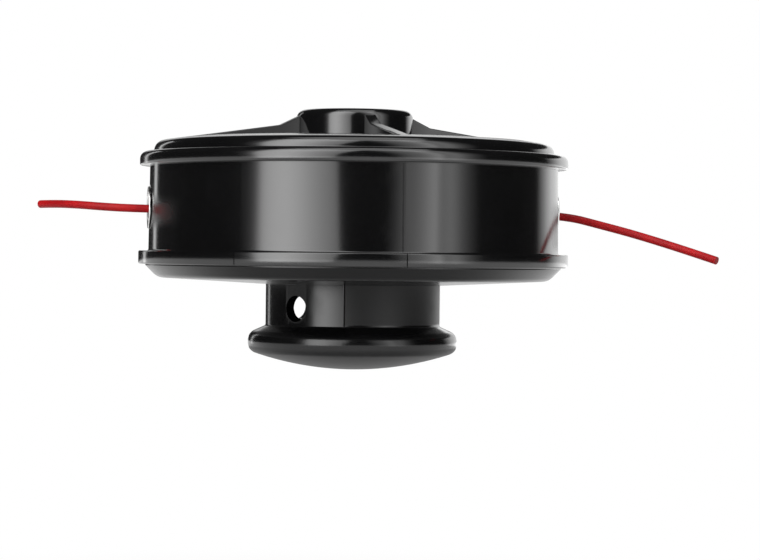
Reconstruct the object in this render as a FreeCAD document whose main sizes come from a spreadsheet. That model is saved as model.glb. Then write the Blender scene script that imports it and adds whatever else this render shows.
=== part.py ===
import FreeCAD
import Part
import Sketcher

import math
import os

# Driving sizes in millimetres and degrees: alias, value, meaning.
SIZES = [
    ("hub_diameter", 35.0, "hub that stands on the top"),
    ("hub_edge_radius", 2.4, "rounding of the hub's top edge"),
    ("hub_rise", 10.2, "hub face above the outer edge of the rim"),
    ("rim_inset", 1.45, "raised rim inside the drum's outer wall"),
    ("rim_width", 8.0, "width of the rim's sloping top"),
    ("rim_height", 2.98, "rim edge above the top flange"),
    ("rim_edge_radius", 3.0, "rounding of the rim's outer edge"),
    ("top_slope", 8.3, "slope of the rim and rib crests, degrees"),
    ("plate_recess", 1.78, "top plate below the rim edge"),
    ("plate_thickness", 3.0, "top plate"),
    ("rib_count", 4, "radial ribs on the top"),
    ("rib_width", 3.5, "thickness of a rib"),
    ("rib_turn", 7.9, "first rib from the eyelet axis, degrees"),
    ("rib_knee_radius", 23.4, "where a rib crest steepens towards the hub"),
    ("rib_knee_slope", 26.0, "steep part of a rib crest, degrees"),
    ("top_flange_overhang", 2.75, "upper flange beyond the drum"),
    ("top_flange_height", 4.1, "upper flange"),
    ("top_flange_radius", 2.2, "rounding of the upper flange"),
    ("drum_diameter", 123.5, "drum at its lower end"),
    ("drum_draft", 0.3, "drum narrower at its upper end, on the radius"),
    ("drum_height", 25.6, "drum between the flanges"),
    ("flange_overhang", 3.0, "lower flange beyond the drum"),
    ("flange_height", 4.0, "lower flange"),
    ("drum_wall", 3.0, "drum wall"),
    ("joint_spigot_length", 3.0, "spigot of the top inside the drum"),
    ("joint_spigot_wall", 2.3, "spigot of the top inside the drum"),
    ("joint_clearance", 0.1, "round the spigot of the top"),
    ("post_diameter", 20.0, "central post that guides the spool"),
    ("post_bore", 14.0, "clear bore of the post below the nut"),
    ("post_length", 29.5, "post below the top plate"),
    ("guide_diameter", 32.4, "ring under the plate that centres the spring"),
    ("guide_wall", 1.5, "ring under the plate"),
    ("guide_height", 2.0, "ring under the plate"),
    ("nut_across_flats", 19.0, "moulded-in nut"),
    ("nut_hex_height", 7.5, "nut above its collar"),
    ("nut_collar_diameter", 26.0, "collar that keeps the nut from pulling out"),
    ("nut_collar_height", 2.5, "collar of the nut"),
    ("nut_bore", 10.38, "tapping bore of the M12 x 1.5 left-hand thread"),
    ("nut_chamfer", 0.8, "lead-in of the nut's bore"),
    ("nut_clearance", 0.05, "round the moulded-in nut"),
    ("eyelet_count", 2, "eyelets in the drum wall"),
    ("eyelet_bore", 4.2, "throat of an eyelet"),
    ("eyelet_body_diameter", 9.0, "eyelet in the drum wall"),
    ("eyelet_flange_diameter", 12.8, "rim of the bell"),
    ("eyelet_flange_height", 1.8, "bell of an eyelet"),
    ("eyelet_rim", 0.4, "rim of the bell"),
    ("eyelet_root_diameter", 9.8, "bell at the bottom of its dish"),
    ("eyelet_dish_angle", 58.0, "dish in the drum round an eyelet, degrees"),
    ("eyelet_proud", 0.35, "eyelet face beyond the drum"),
    ("eyelet_mouth_radius", 3.4, "bell mouth on the outside"),
    ("eyelet_lip_diameter", 11.0, "swaged inner lip"),
    ("eyelet_lip_height", 1.0, "swaged inner lip"),
    ("eyelet_lip_radius", 1.4, "bell mouth on the inside"),
    ("eyelet_boss_diameter", 17.0, "boss inside the drum wall"),
    ("eyelet_boss_depth", 1.2, "boss inside the drum wall"),
    ("eyelet_clearance", 0.1, "round the eyelet in the wall"),
    ("line_diameter", 2.4, "trimmer line"),
    ("cover_inset", 2.15, "cover inside the edge of the lower flange"),
    ("cover_band", 0.4, "straight edge above the cover's bevel"),
    ("cover_bevel", 3.6, "45 degree bevel round the cover"),
    ("cover_bevel_radius", 4.0, "rounding between the bevel and the cone"),
    ("cover_cone_drop", 1.66, "fall of the cover from bevel to hole"),
    ("cover_floor_drop", 1.0, "inner floor below the lower flange"),
    ("cover_spigot_height", 4.0, "spigot inside the drum"),
    ("cover_spigot_wall", 2.6, "spigot inside the drum"),
    ("lug_count", 4, "bayonet lugs"),
    ("lug_width", 14.0, "bayonet lug"),
    ("lug_height", 1.5, "bayonet lug"),
    ("lug_reach", 2.1, "bayonet lug beyond the spigot"),
    ("lug_rise", 1.5, "bayonet lug above the lower flange's face"),
    ("notch_width", 16.5, "bayonet entry notch"),
    ("tooth_count", 9, "ratchet teeth on cover and spool"),
    ("tooth_inner_radius", 30.0, "ratchet ring"),
    ("tooth_outer_radius", 40.0, "ratchet ring"),
    ("tooth_rise", 3.4, "ratchet ramp"),
    ("tooth_gap", 0.8, "half gap between ratchet teeth, degrees"),
    ("tooth_root", 0.4, "spool above the tooth tips of the cover"),
    ("bump_stroke", 6.0, "travel of knob and spool"),
    ("stop_count", 6, "stop blocks on housing and spool"),
    ("stop_height", 2.7, "stop block of the housing"),
    ("stop_width", 9.4, "stop block"),
    ("stop_inner_radius", 40.0, "stop block ring"),
    ("stop_outer_radius", 50.0, "stop block ring"),
    ("stop_lag", -9.0, "spool blocks behind the housing blocks at rest, degrees"),
    ("run_clearance", 0.3, "between pieces that move on each other"),
    ("spool_gap", 3.4, "spool rim inside the drum"),
    ("spool_flange", 2.0, "spool flange"),
    ("line_notch_count", 2, "notches that hold the line ends in the upper spool flange"),
    ("line_notch_width", 3.0, "line notch"),
    ("line_notch_depth", 3.5, "line notch"),
    ("line_notch_turn", 21.0, "first line notch, between two stop blocks, degrees"),
    ("spool_core_diameter", 52.0, "core that the line is wound on"),
    ("spool_wall", 2.0, "walls of the spool's core, tube and boss"),
    ("spool_web", 3.0, "web under the spring"),
    ("spool_boss_length", 10.0, "threaded boss for the knob"),
    ("spool_tube_length", 16.0, "guide tube on the post"),
    ("spring_length", 16.0, "spring as fitted"),
    ("spring_diameter", 35.0, "middle of the spring wire"),
    ("spring_wire", 2.0, "spring wire"),
    ("spring_turns", 4.0, "turns of the spring"),
    ("washer_thickness", 1.0, "thrust washer"),
    ("winding_diameter", 94.0, "line wound on the spool"),
    ("winding_clearance", 0.15, "winding between the spool flanges"),
    ("neck_diameter", 52.6, "neck of the knob"),
    ("neck_wall", 3.4, "neck of the knob"),
    ("neck_clearance", 0.5, "neck in the cover's hole"),
    ("thread_clearance", 0.2, "knob on the spool's boss"),
    ("neck_reach", 12.44, "neck below the cover"),
    ("knob_diameter", 63.2, "widest part of the knob"),
    ("knob_shoulder_drop", 1.9, "sloping shoulder above the rim"),
    ("knob_rim_height", 6.0, "rounded rim of the knob"),
    ("knob_rim_inset", 1.0, "rim ends inside the widest part"),
    ("knob_sag", 5.2, "depth of the domed bottom"),
    ("knob_floor", 7.5, "domed bottom at its middle"),
    ("hole_diameter", 7.8, "cross holes of the neck"),
    ("hole_count", 2, "cross holes of the neck"),
    ("hole_spread", 97.7, "angle between the cross holes"),
    ("hole_turn", 125.1, "first cross hole from the eyelet axis, degrees"),
    ("hole_drop", 7.1, "cross holes below the cover"),
]

# Routes of the two free line ends, from inside the eyelet to the bare tip, measured from the
# middle of the eyelet's face; x runs outwards.
LEFT_ROUTE = [
    (-6.0, 0.0, -0.4),
    (4.0, 0.0, -0.3),
    (12.9, 2.0, 0.1),
    (20.4, 6.0, 0.7),
    (27.2, 11.9, 1.0),
    (31.6, 17.8, 0.9),
]
RIGHT_ROUTE = [
    (-6.0, 0.0, -0.6),
    (3.5, 0.0, -1.0),
    (13.4, -1.6, -3.5),
    (22.6, -4.8, -6.0),
    (31.6, -9.5, -8.9),
    (39.9, -15.6, -11.9),
    (45.2, -20.7, -14.0),
]
ARC_SHARE = 0.45
FULL_TURN = 360.0
HALF_TURN = 180.0
HEXAGON_CORNER = 60.0
THROUGH = 8.0
SAME_PLACE = 1e-4
VOLUME_SHARE = 0.01


class Size:
    """A value together with the sheet formula that gives it."""

    def __init__(self, value, formula):
        self.value = value
        self.formula = formula

    def __add__(self, other):
        other = as_size(other)
        return Size(self.value + other.value, f"({self.formula} + {other.formula})")

    def __sub__(self, other):
        other = as_size(other)
        return Size(self.value - other.value, f"({self.formula} - {other.formula})")

    def __mul__(self, other):
        other = as_size(other)
        return Size(self.value * other.value, f"({self.formula} * {other.formula})")

    def __truediv__(self, other):
        other = as_size(other)
        return Size(self.value / other.value, f"({self.formula} / {other.formula})")

    def __neg__(self):
        return Size(-self.value, f"(-1 * {self.formula})")


def as_size(number):
    """A plain number as a size of its own."""
    if isinstance(number, Size):
        return number
    return Size(float(number), f"{float(number)}")


def tangent(angle):
    """Tangent of an angle in degrees."""
    return Size(math.tan(math.radians(angle.value)), f"tan({angle.formula})")


def make_sheet(document):
    """Write the driving sizes to the document's sheet."""
    sheet = document.addObject("Spreadsheet::Sheet", "Sizes")
    for row, (alias, value, meaning) in enumerate(SIZES, start=1):
        sheet.set(f"A{row}", alias)
        sheet.set(f"B{row}", str(value))
        sheet.setAlias(f"B{row}", alias)
        sheet.set(f"C{row}", meaning)
    document.recompute()
    return sheet


doc = FreeCAD.newDocument("TrimmerHead")
sizes = make_sheet(doc)


def size(alias):
    """One driving size, by its name in the sheet."""
    return Size(float(sizes.get(alias)), f"Sizes.{alias}")


# Radii and heights that follow from the driving sizes; the hub's face is z = 0.
hub_r = size("hub_diameter") / 2
drum_r = size("drum_diameter") / 2
rim_r = drum_r - size("rim_inset")
rim_inner_r = rim_r - size("rim_width")
top_flange_r = drum_r + size("top_flange_overhang")
flange_r = drum_r + size("flange_overhang")
case_r = drum_r - size("drum_wall")
drum_top_r = drum_r - size("drum_draft")
post_r = size("post_diameter") / 2
post_bore_r = size("post_bore") / 2
rim_z = -size("hub_rise")
rim_inner_z = rim_z + size("rim_width") * tangent(size("top_slope"))
flange_top_z = rim_z - size("rim_height")
drum_top_z = flange_top_z - size("top_flange_height")
drum_bottom_z = drum_top_z - size("drum_height")
case_bottom_z = drum_bottom_z - size("flange_height")
plate_top_z = rim_z - size("plate_recess")
plate_bottom_z = plate_top_z - size("plate_thickness")
post_bottom_z = plate_bottom_z - size("post_length")
guide_r = size("guide_diameter") / 2
guide_inner_r = guide_r - size("guide_wall")
guide_bottom_z = plate_bottom_z - size("guide_height")
joint_r = case_r - size("joint_clearance")
joint_inner_r = joint_r - size("joint_spigot_wall")
joint_bottom_z = drum_top_z - size("joint_spigot_length")
eyelet_z = (drum_top_z + drum_bottom_z) / 2
eyelet_face_x = drum_r + size("eyelet_proud")
eyelet_seat_x = eyelet_face_x - size("eyelet_flange_height")
eyelet_boss_x = case_r - size("eyelet_boss_depth")
eyelet_end_x = eyelet_boss_x - size("eyelet_lip_height")
nut_collar_r = size("nut_collar_diameter") / 2
nut_bottom_z = -(size("nut_hex_height") + size("nut_collar_height"))
floor_z = case_bottom_z - size("cover_floor_drop")
spool_bottom_z = floor_z + size("run_clearance") + size("tooth_rise") + size("tooth_root")
spool_top_z = plate_bottom_z - size("stop_height") - size("run_clearance") - size("bump_stroke")
spool_r = case_r - size("spool_gap")
core_r = size("spool_core_diameter") / 2
pocket_r = core_r - size("spool_wall")
chamber = (spool_top_z - spool_bottom_z - size("spool_flange") * 3) / 2
middle_top_z = spool_top_z - size("spool_flange") - chamber
middle_bottom_z = middle_top_z - size("spool_flange")
lower_top_z = spool_bottom_z + size("spool_flange")
washer_top_z = plate_bottom_z - size("spring_length")
web_top_z = washer_top_z - size("washer_thickness")
neck_r = size("neck_diameter") / 2
neck_inner_r = neck_r - size("neck_wall")
boss_r = neck_inner_r - size("thread_clearance")
cover_r = flange_r - size("cover_inset")
bevel_r = cover_r - size("cover_bevel")
bevel_top_z = case_bottom_z - size("cover_band")
bevel_bottom_z = bevel_top_z - size("cover_bevel")
cover_bottom_z = bevel_bottom_z - size("cover_cone_drop")
cover_hole_r = neck_r + size("neck_clearance")
spigot_r = case_r - size("run_clearance")
lug_bottom_z = case_bottom_z + size("lug_rise")
tooth_angle = as_size(HALF_TURN) / size("tooth_count") - size("tooth_gap")
tooth_half = size("tooth_inner_radius") * tangent(tooth_angle)
shoulder_z = cover_bottom_z - size("neck_reach")


def bind(target, name, value):
    """Tie a property to its sheet formula."""
    target.setExpression(name, value.formula)


def new_body(label):
    """An empty body whose label names its file."""
    body = doc.addObject("PartDesign::Body", label)
    body.Label = label
    return body


def origin(body, role):
    """One of the body's own origin planes or axes."""
    return next(feature for feature in body.Origin.OriginFeatures if feature.Role == role)


def new_sketch(body, name, plane, offset=None, turn=None, turn_axis=(0, 0, 1)):
    """A sketch on an origin plane, moved along its normal and turned about an axis of its own."""
    sketch = body.newObject("Sketcher::SketchObject", name)
    sketch.AttachmentSupport = (origin(body, plane), [""])
    sketch.MapMode = "FlatFace"
    if turn is not None:
        rotation = FreeCAD.Rotation(FreeCAD.Vector(*turn_axis), turn.value)
        sketch.AttachmentOffset = FreeCAD.Placement(FreeCAD.Vector(), rotation)
        bind(sketch, "AttachmentOffset.Rotation.Angle", turn)
    if offset is not None:
        bind(sketch, "AttachmentOffset.Base.z", offset)
    return sketch


def lock(sketch, kind, geometry, end, value):
    """Hold one coordinate of a sketch point at a size, or on the axis where it is 0."""
    if isinstance(value, Size):
        constraint = Sketcher.Constraint(kind, -1, 1, geometry, end, value.value)
        bind(sketch, f"Constraints[{sketch.addConstraint(constraint)}]", value)
    else:
        axis = -2 if kind == "DistanceX" else -1
        sketch.addConstraint(Sketcher.Constraint("PointOnObject", geometry, end, axis))


def number(value):
    """The plain value of a coordinate."""
    return value.value if isinstance(value, Size) else float(value)


def arc_between(start, end, centre_x):
    """The short arc from start to end round a centre at a given x, and whether it runs backwards."""
    run = (start.x - centre_x) ** 2 - (end.x - centre_x) ** 2 + start.y ** 2 - end.y ** 2
    centre = FreeCAD.Vector(centre_x, run / (2 * (start.y - end.y)), 0)
    first = math.atan2(start.y - centre.y, start.x - centre.x)
    last = math.atan2(end.y - centre.y, end.x - centre.x)
    backwards = math.sin(last - first) < 0
    if backwards:
        first, last = last, first
    circle = Part.Circle(centre, FreeCAD.Vector(0, 0, 1), (start - centre).Length)
    return Part.ArcOfCircle(circle, first, last), backwards


def outline(sketch, points):
    """A closed outline. A point is (x, y), or (x, y, centre x) where an arc leads to it."""
    corners = [FreeCAD.Vector(number(point[0]), number(point[1]), 0) for point in points]
    starts = []
    ends = []
    for index, corner in enumerate(corners):
        following = (index + 1) % len(points)
        target = points[following]
        if len(target) == 3:
            arc, backwards = arc_between(corner, corners[following], number(target[2]))
            geometry = sketch.addGeometry(arc, False)
            starts.append((geometry, 2 if backwards else 1))
            ends.append((geometry, 1 if backwards else 2))
            lock(sketch, "DistanceX", geometry, 3, target[2])
        else:
            geometry = sketch.addGeometry(Part.LineSegment(corner, corners[following]), False)
            starts.append((geometry, 1))
            ends.append((geometry, 2))
    for index, point in enumerate(points):
        sketch.addConstraint(Sketcher.Constraint("Coincident", *ends[index - 1], *starts[index]))
        lock(sketch, "DistanceX", *starts[index], point[0])
        lock(sketch, "DistanceY", *starts[index], point[1])
    return sketch


def rectangle(sketch, left, right, bottom, top):
    """A rectangle between four coordinates."""
    return outline(sketch, [(left, bottom), (right, bottom), (right, top), (left, top)])


def circle(sketch, x, y, diameter):
    """A circle of a given diameter."""
    middle = FreeCAD.Vector(number(x), number(y), 0)
    geometry = sketch.addGeometry(Part.Circle(middle, FreeCAD.Vector(0, 0, 1), diameter.value / 2), False)
    lock(sketch, "DistanceX", geometry, 3, x)
    lock(sketch, "DistanceY", geometry, 3, y)
    index = sketch.addConstraint(Sketcher.Constraint("Diameter", geometry, diameter.value))
    bind(sketch, f"Constraints[{index}]", diameter)
    return sketch


def hexagon(sketch, flats):
    """A regular hexagon across its flats, with two flats square to the sketch's y axis."""
    half = flats / 2
    corner = flats / (tangent(as_size(HEXAGON_CORNER)) * 2)
    reach = corner * 2
    points = [(reach, 0), (corner, half), (-corner, half), (-reach, 0), (-corner, -half), (corner, -half)]
    return outline(sketch, points)


def finish(body, feature):
    """Take a feature as the body's last step."""
    body.Tip = feature
    doc.recompute()
    return feature


def turned(body, name, sketch, kind="Revolution", axis="V_Axis"):
    """A full turn of a sketch about one of its axes, added or cut away."""
    feature = body.newObject(f"PartDesign::{kind}", name)
    feature.Profile = sketch
    feature.ReferenceAxis = (sketch, [axis])
    feature.Angle = FULL_TURN
    return finish(body, feature)


def pad(body, name, sketch, length, down=False, midplane=False):
    """A sketch thickened along its normal, against it, or both ways."""
    feature = body.newObject("PartDesign::Pad", name)
    feature.Profile = sketch
    feature.Reversed = down
    feature.Midplane = midplane
    bind(feature, "Length", length)
    return finish(body, feature)


def pocket(body, name, sketch, length, along_normal=False, taper=None):
    """A sketch cut into the body, straight or widening, which has to lose volume by it."""
    before = body.Shape.Volume
    feature = body.newObject("PartDesign::Pocket", name)
    if taper:
        bind(feature, "TaperAngle", taper)
    feature.Profile = sketch
    feature.Reversed = along_normal
    bind(feature, "Length", length)
    finish(body, feature)
    if body.Shape.Volume >= before:
        raise ValueError(f"{name} cuts nothing")
    return feature


def around(body, name, features, count, angle=None):
    """Features repeated round the axis."""
    feature = body.newObject("PartDesign::PolarPattern", name)
    feature.Originals = features
    feature.Axis = (origin(body, "Z_Axis"), [""])
    feature.Angle = FULL_TURN
    if angle is not None:
        bind(feature, "Angle", angle)
    bind(feature, "Occurrences", count)
    return finish(body, feature)


def rings(shape, places):
    """Names of the round edges about the axis at the given radii and heights."""
    names = []
    for index, edge in enumerate(shape.Edges, start=1):
        if not isinstance(edge.Curve, Part.Circle):
            continue
        for radius, height in places:
            same_radius = abs(edge.Curve.Radius - radius.value) < SAME_PLACE
            same_height = abs(edge.Curve.Center.z - number(height)) < SAME_PLACE
            on_axis = math.hypot(edge.Curve.Center.x, edge.Curve.Center.y) < SAME_PLACE
            if same_radius and same_height and on_axis:
                names.append(f"Edge{index}")
    return names


def edge_feature(body, name, kind, places, measure):
    """A rounding or chamfer on round edges about the axis."""
    base = body.Tip
    feature = body.newObject(f"PartDesign::{kind}", name)
    feature.Base = (base, rings(base.Shape, places))
    bind(feature, "Radius" if kind == "Fillet" else "Size", measure)
    return finish(body, feature)


def make_top_case():
    """The moulded top: hub, ribbed plate, rim, upper flange, post, spring guide and drum spigot."""
    body = new_body("top_case")
    section = new_sketch(body, "top_section", "XZ_Plane")
    outline(
        section,
        [
            (post_bore_r, 0),
            (hub_r, 0),
            (hub_r, plate_top_z),
            (rim_inner_r, plate_top_z),
            (rim_inner_r, rim_inner_z),
            (rim_r, rim_z),
            (rim_r, flange_top_z),
            (top_flange_r, flange_top_z),
            (top_flange_r, drum_top_z),
            (joint_r, drum_top_z),
            (joint_r, joint_bottom_z),
            (joint_inner_r, joint_bottom_z),
            (joint_inner_r, plate_bottom_z),
            (guide_r, plate_bottom_z),
            (guide_r, guide_bottom_z),
            (guide_inner_r, guide_bottom_z),
            (guide_inner_r, plate_bottom_z),
            (post_r, plate_bottom_z),
            (post_r, post_bottom_z),
            (post_bore_r, post_bottom_z),
        ],
    )
    turned(body, "top_form", section)
    edge_feature(body, "hub_edge", "Fillet", [(hub_r, 0)], size("hub_edge_radius"))
    edge_feature(body, "rim_edge", "Fillet", [(rim_r, rim_z)], size("rim_edge_radius"))
    edge_feature(body, "flange_edge", "Fillet", [(top_flange_r, flange_top_z)], size("top_flange_radius"))
    add_ribs(body)
    add_stops(body, "top_stop", plate_bottom_z, size("stop_height"), as_size(0), down=True)
    add_nut_seat(body)
    return body


def make_drum():
    """The moulded drum: wall, lower flange, bayonet groove for the cover and seats for the eyelets."""
    body = new_body("drum")
    section = new_sketch(body, "drum_section", "XZ_Plane")
    outline(
        section,
        [
            (case_r, drum_top_z),
            (drum_top_r, drum_top_z),
            (drum_r, drum_bottom_z),
            (flange_r, drum_bottom_z),
            (flange_r, case_bottom_z),
            (case_r, case_bottom_z),
        ],
    )
    turned(body, "drum_form", section)
    add_bayonet_groove(body)
    add_eyelet_seats(body)
    return body


def add_ribs(body):
    """Radial ribs whose crests run on from the rim and steepen towards the hub."""
    root = size("rib_width") / 2
    knee_r = size("rib_knee_radius")
    knee_z = rim_z + (rim_r - knee_r) * tangent(size("top_slope"))
    inner_r = hub_r - root
    outer_r = rim_inner_r + root
    crest_z = knee_z + (knee_r - inner_r) * tangent(size("rib_knee_slope"))
    outer_z = rim_z + (rim_r - outer_r) * tangent(size("top_slope"))
    side = new_sketch(body, "rib_side", "XZ_Plane", turn=size("rib_turn"), turn_axis=(0, 1, 0))
    foot = [(inner_r, plate_top_z), (outer_r, plate_top_z)]
    crest = [(outer_r, outer_z), (knee_r, knee_z), (inner_r, crest_z)]
    outline(side, foot + crest)
    rib = pad(body, "rib", side, size("rib_width"), midplane=True)
    around(body, "ribs", [rib], size("rib_count"))


def add_stops(body, name, height_z, height, turn, down):
    """Blocks round the axis that keep the spool from turning while the knob is pressed."""
    half = size("stop_width") / 2
    plan = new_sketch(body, f"{name}_plan", "XY_Plane", offset=height_z, turn=turn)
    rectangle(plan, size("stop_inner_radius"), size("stop_outer_radius"), -half, half)
    block = pad(body, f"{name}_block", plan, height, down=down)
    around(body, f"{name}_blocks", [block], size("stop_count"))


def add_nut_seat(body):
    """The hexagonal seat of the nut, and the wider seat of its collar below."""
    seat = new_sketch(body, "nut_seat_plan", "XY_Plane")
    hexagon(seat, size("nut_across_flats") + size("nut_clearance") * 2)
    pocket(body, "nut_seat", seat, size("nut_hex_height"))
    ring = new_sketch(body, "nut_collar_section", "XZ_Plane")
    clearance = size("nut_clearance")
    top_z = -size("nut_hex_height") + clearance
    rectangle(ring, post_bore_r, nut_collar_r + clearance, nut_bottom_z - clearance, top_z)
    turned(body, "nut_collar_seat", ring, kind="Groove")


def add_bayonet_groove(body):
    """The groove inside the lower flange that holds the cover's lugs, with its entry notches."""
    clearance = size("run_clearance")
    groove_r = spigot_r + size("lug_reach") + clearance * 3
    top_z = lug_bottom_z + size("lug_height") + clearance
    section = new_sketch(body, "bayonet_section", "XZ_Plane")
    rectangle(section, case_r - clearance, groove_r, lug_bottom_z - clearance, top_z)
    turned(body, "bayonet_groove", section, kind="Groove")
    half = size("notch_width") / 2
    turn = as_size(HALF_TURN) / size("lug_count")
    plan = new_sketch(body, "bayonet_notch_plan", "XY_Plane", offset=case_bottom_z, turn=turn)
    rectangle(plan, case_r - size("drum_wall"), groove_r, -half, half)
    notch = pocket(body, "bayonet_notch", plan, top_z - case_bottom_z, along_normal=True)
    around(body, "bayonet_notches", [notch], size("lug_count"))


def add_eyelet_seats(body):
    """Two bosses in the drum wall, each with a conical dish and a hole for an eyelet."""
    clearance = size("eyelet_clearance")
    boss_plan = new_sketch(body, "eyelet_boss_plan", "YZ_Plane", offset=eyelet_boss_x)
    circle(boss_plan, 0, eyelet_z, size("eyelet_boss_diameter"))
    boss = pad(body, "eyelet_boss", boss_plan, (case_r + drum_r) / 2 - eyelet_boss_x)
    around(body, "eyelet_bosses", [boss], size("eyelet_count"))
    dish_plan = new_sketch(body, "eyelet_dish_plan", "YZ_Plane", offset=eyelet_seat_x)
    circle(dish_plan, 0, eyelet_z, size("eyelet_root_diameter") + clearance * 2)
    depth = size("eyelet_flange_height")
    dish = pocket(body, "eyelet_dish", dish_plan, depth, along_normal=True, taper=size("eyelet_dish_angle"))
    around(body, "eyelet_dishes", [dish], size("eyelet_count"))
    hole_plan = new_sketch(body, "eyelet_hole_plan", "YZ_Plane", offset=eyelet_boss_x - clearance)
    circle(hole_plan, 0, eyelet_z, size("eyelet_body_diameter") + clearance * 2)
    hole = pocket(body, "eyelet_hole", hole_plan, as_size(THROUGH), along_normal=True)
    around(body, "eyelet_holes", [hole], size("eyelet_count"))


def make_hub_nut():
    """The steel nut in the hub: hexagon above, round collar below, chamfered tapping bore."""
    body = new_body("hub_nut")
    plan = new_sketch(body, "nut_plan", "XY_Plane")
    hexagon(plan, size("nut_across_flats"))
    pad(body, "nut_hexagon", plan, size("nut_hex_height"), down=True)
    ring = new_sketch(body, "nut_collar_plan", "XY_Plane", offset=-size("nut_hex_height"))
    circle(ring, 0, 0, size("nut_collar_diameter"))
    pad(body, "nut_collar", ring, size("nut_collar_height"), down=True)
    bore = new_sketch(body, "nut_bore_plan", "XY_Plane")
    circle(bore, 0, 0, size("nut_bore"))
    pocket(body, "nut_thread_bore", bore, -nut_bottom_z)
    bore_r = size("nut_bore") / 2
    edge_feature(body, "nut_lead_in", "Chamfer", [(bore_r, 0), (bore_r, nut_bottom_z)], size("nut_chamfer"))
    return body


def make_eyelet(label, turn):
    """A bell-mouthed metal eyelet, turned about its own axis and swaged inside the wall."""
    body = new_body(label)
    throat_r = size("eyelet_bore") / 2
    mouth = size("eyelet_mouth_radius")
    lip = size("eyelet_lip_radius")
    section = new_sketch(body, f"{label}_section", "XZ_Plane")
    flange_r_out = size("eyelet_flange_diameter") / 2
    body_r = size("eyelet_body_diameter") / 2
    lip_r = size("eyelet_lip_diameter") / 2
    outline(
        section,
        [
            (eyelet_end_x + lip, throat_r),
            (eyelet_end_x, throat_r + lip, eyelet_end_x + lip),
            (eyelet_end_x, lip_r),
            (eyelet_boss_x, lip_r),
            (eyelet_boss_x, body_r),
            (eyelet_seat_x, body_r),
            (eyelet_seat_x, size("eyelet_root_diameter") / 2),
            (eyelet_face_x - size("eyelet_rim"), flange_r_out),
            (eyelet_face_x, flange_r_out),
            (eyelet_face_x, throat_r + mouth),
            (eyelet_face_x - mouth, throat_r, eyelet_face_x - mouth),
        ],
    )
    turned(body, f"{label}_form", section, axis="H_Axis")
    body.Placement = FreeCAD.Placement(
        FreeCAD.Vector(0, 0, eyelet_z.value), FreeCAD.Rotation(FreeCAD.Vector(0, 0, 1), turn)
    )
    bind(body, "Placement.Base.z", eyelet_z)
    return body


def make_cover():
    """The conical cover: spigot with bayonet lugs, hole for the neck and a ring of ratchet teeth."""
    body = new_body("bottom_cover")
    inner_r = spigot_r - size("cover_spigot_wall")
    top_z = case_bottom_z + size("cover_spigot_height")
    section = new_sketch(body, "cover_section", "XZ_Plane")
    outline(
        section,
        [
            (cover_hole_r, floor_z),
            (cover_hole_r, cover_bottom_z),
            (bevel_r, bevel_bottom_z),
            (cover_r, bevel_top_z),
            (cover_r, case_bottom_z),
            (spigot_r, case_bottom_z),
            (spigot_r, top_z),
            (inner_r, top_z),
            (inner_r, floor_z),
        ],
    )
    turned(body, "cover_form", section)
    edge_feature(body, "bevel_edge", "Fillet", [(bevel_r, bevel_bottom_z)], size("cover_bevel_radius"))
    half = size("lug_width") / 2
    plan = new_sketch(body, "lug_plan", "XY_Plane", offset=lug_bottom_z)
    rectangle(plan, inner_r + size("cover_spigot_wall") / 2, spigot_r + size("lug_reach"), -half, half)
    lug = pad(body, "lug", plan, size("lug_height"))
    around(body, "lugs", [lug], size("lug_count"))
    side = new_sketch(body, "cover_tooth_side", "YZ_Plane", offset=size("tooth_inner_radius"))
    outline(side, [(-tooth_half, floor_z), (tooth_half, floor_z), (tooth_half, floor_z + size("tooth_rise"))])
    tooth = pad(body, "cover_tooth", side, size("tooth_outer_radius") - size("tooth_inner_radius"))
    around(body, "cover_teeth", [tooth], size("tooth_count"))
    return body


def make_spool():
    """The spool: flanges, spring pocket, guide tube, threaded boss, stop blocks, notches and teeth."""
    body = new_body("spool")
    flange = size("spool_flange")
    wall = size("spool_wall")
    bore_r = post_r + size("run_clearance")
    web_bottom_z = web_top_z - size("spool_web")
    boss_bottom_z = spool_bottom_z - size("spool_boss_length")
    tube_bottom_z = web_top_z - size("spool_tube_length")
    section = new_sketch(body, "spool_section", "XZ_Plane")
    outline(
        section,
        [
            (bore_r, web_top_z),
            (pocket_r, web_top_z),
            (pocket_r, spool_top_z),
            (spool_r, spool_top_z),
            (spool_r, spool_top_z - flange),
            (core_r, spool_top_z - flange),
            (core_r, middle_top_z),
            (spool_r, middle_top_z),
            (spool_r, middle_bottom_z),
            (core_r, middle_bottom_z),
            (core_r, lower_top_z),
            (spool_r, lower_top_z),
            (spool_r, spool_bottom_z),
            (boss_r, spool_bottom_z),
            (boss_r, boss_bottom_z),
            (boss_r - wall, boss_bottom_z),
            (boss_r - wall, web_bottom_z),
            (bore_r + wall, web_bottom_z),
            (bore_r + wall, tube_bottom_z),
            (bore_r, tube_bottom_z),
        ],
    )
    turned(body, "spool_form", section)
    stop_height = size("stop_height") - size("run_clearance")
    add_stops(body, "spool_stop", spool_top_z, stop_height, size("stop_lag"), down=False)
    add_line_notches(body)
    low_z = floor_z + size("run_clearance")
    high_z = low_z + size("tooth_rise")
    side = new_sketch(body, "spool_tooth_side", "YZ_Plane", offset=size("tooth_inner_radius"))
    ramp = [(-tooth_half, low_z), (tooth_half, high_z)]
    outline(side, ramp + [(tooth_half, spool_bottom_z), (-tooth_half, spool_bottom_z)])
    tooth = pad(body, "spool_tooth", side, size("tooth_outer_radius") - size("tooth_inner_radius"))
    around(body, "spool_teeth", [tooth], size("tooth_count"))
    return body


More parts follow.
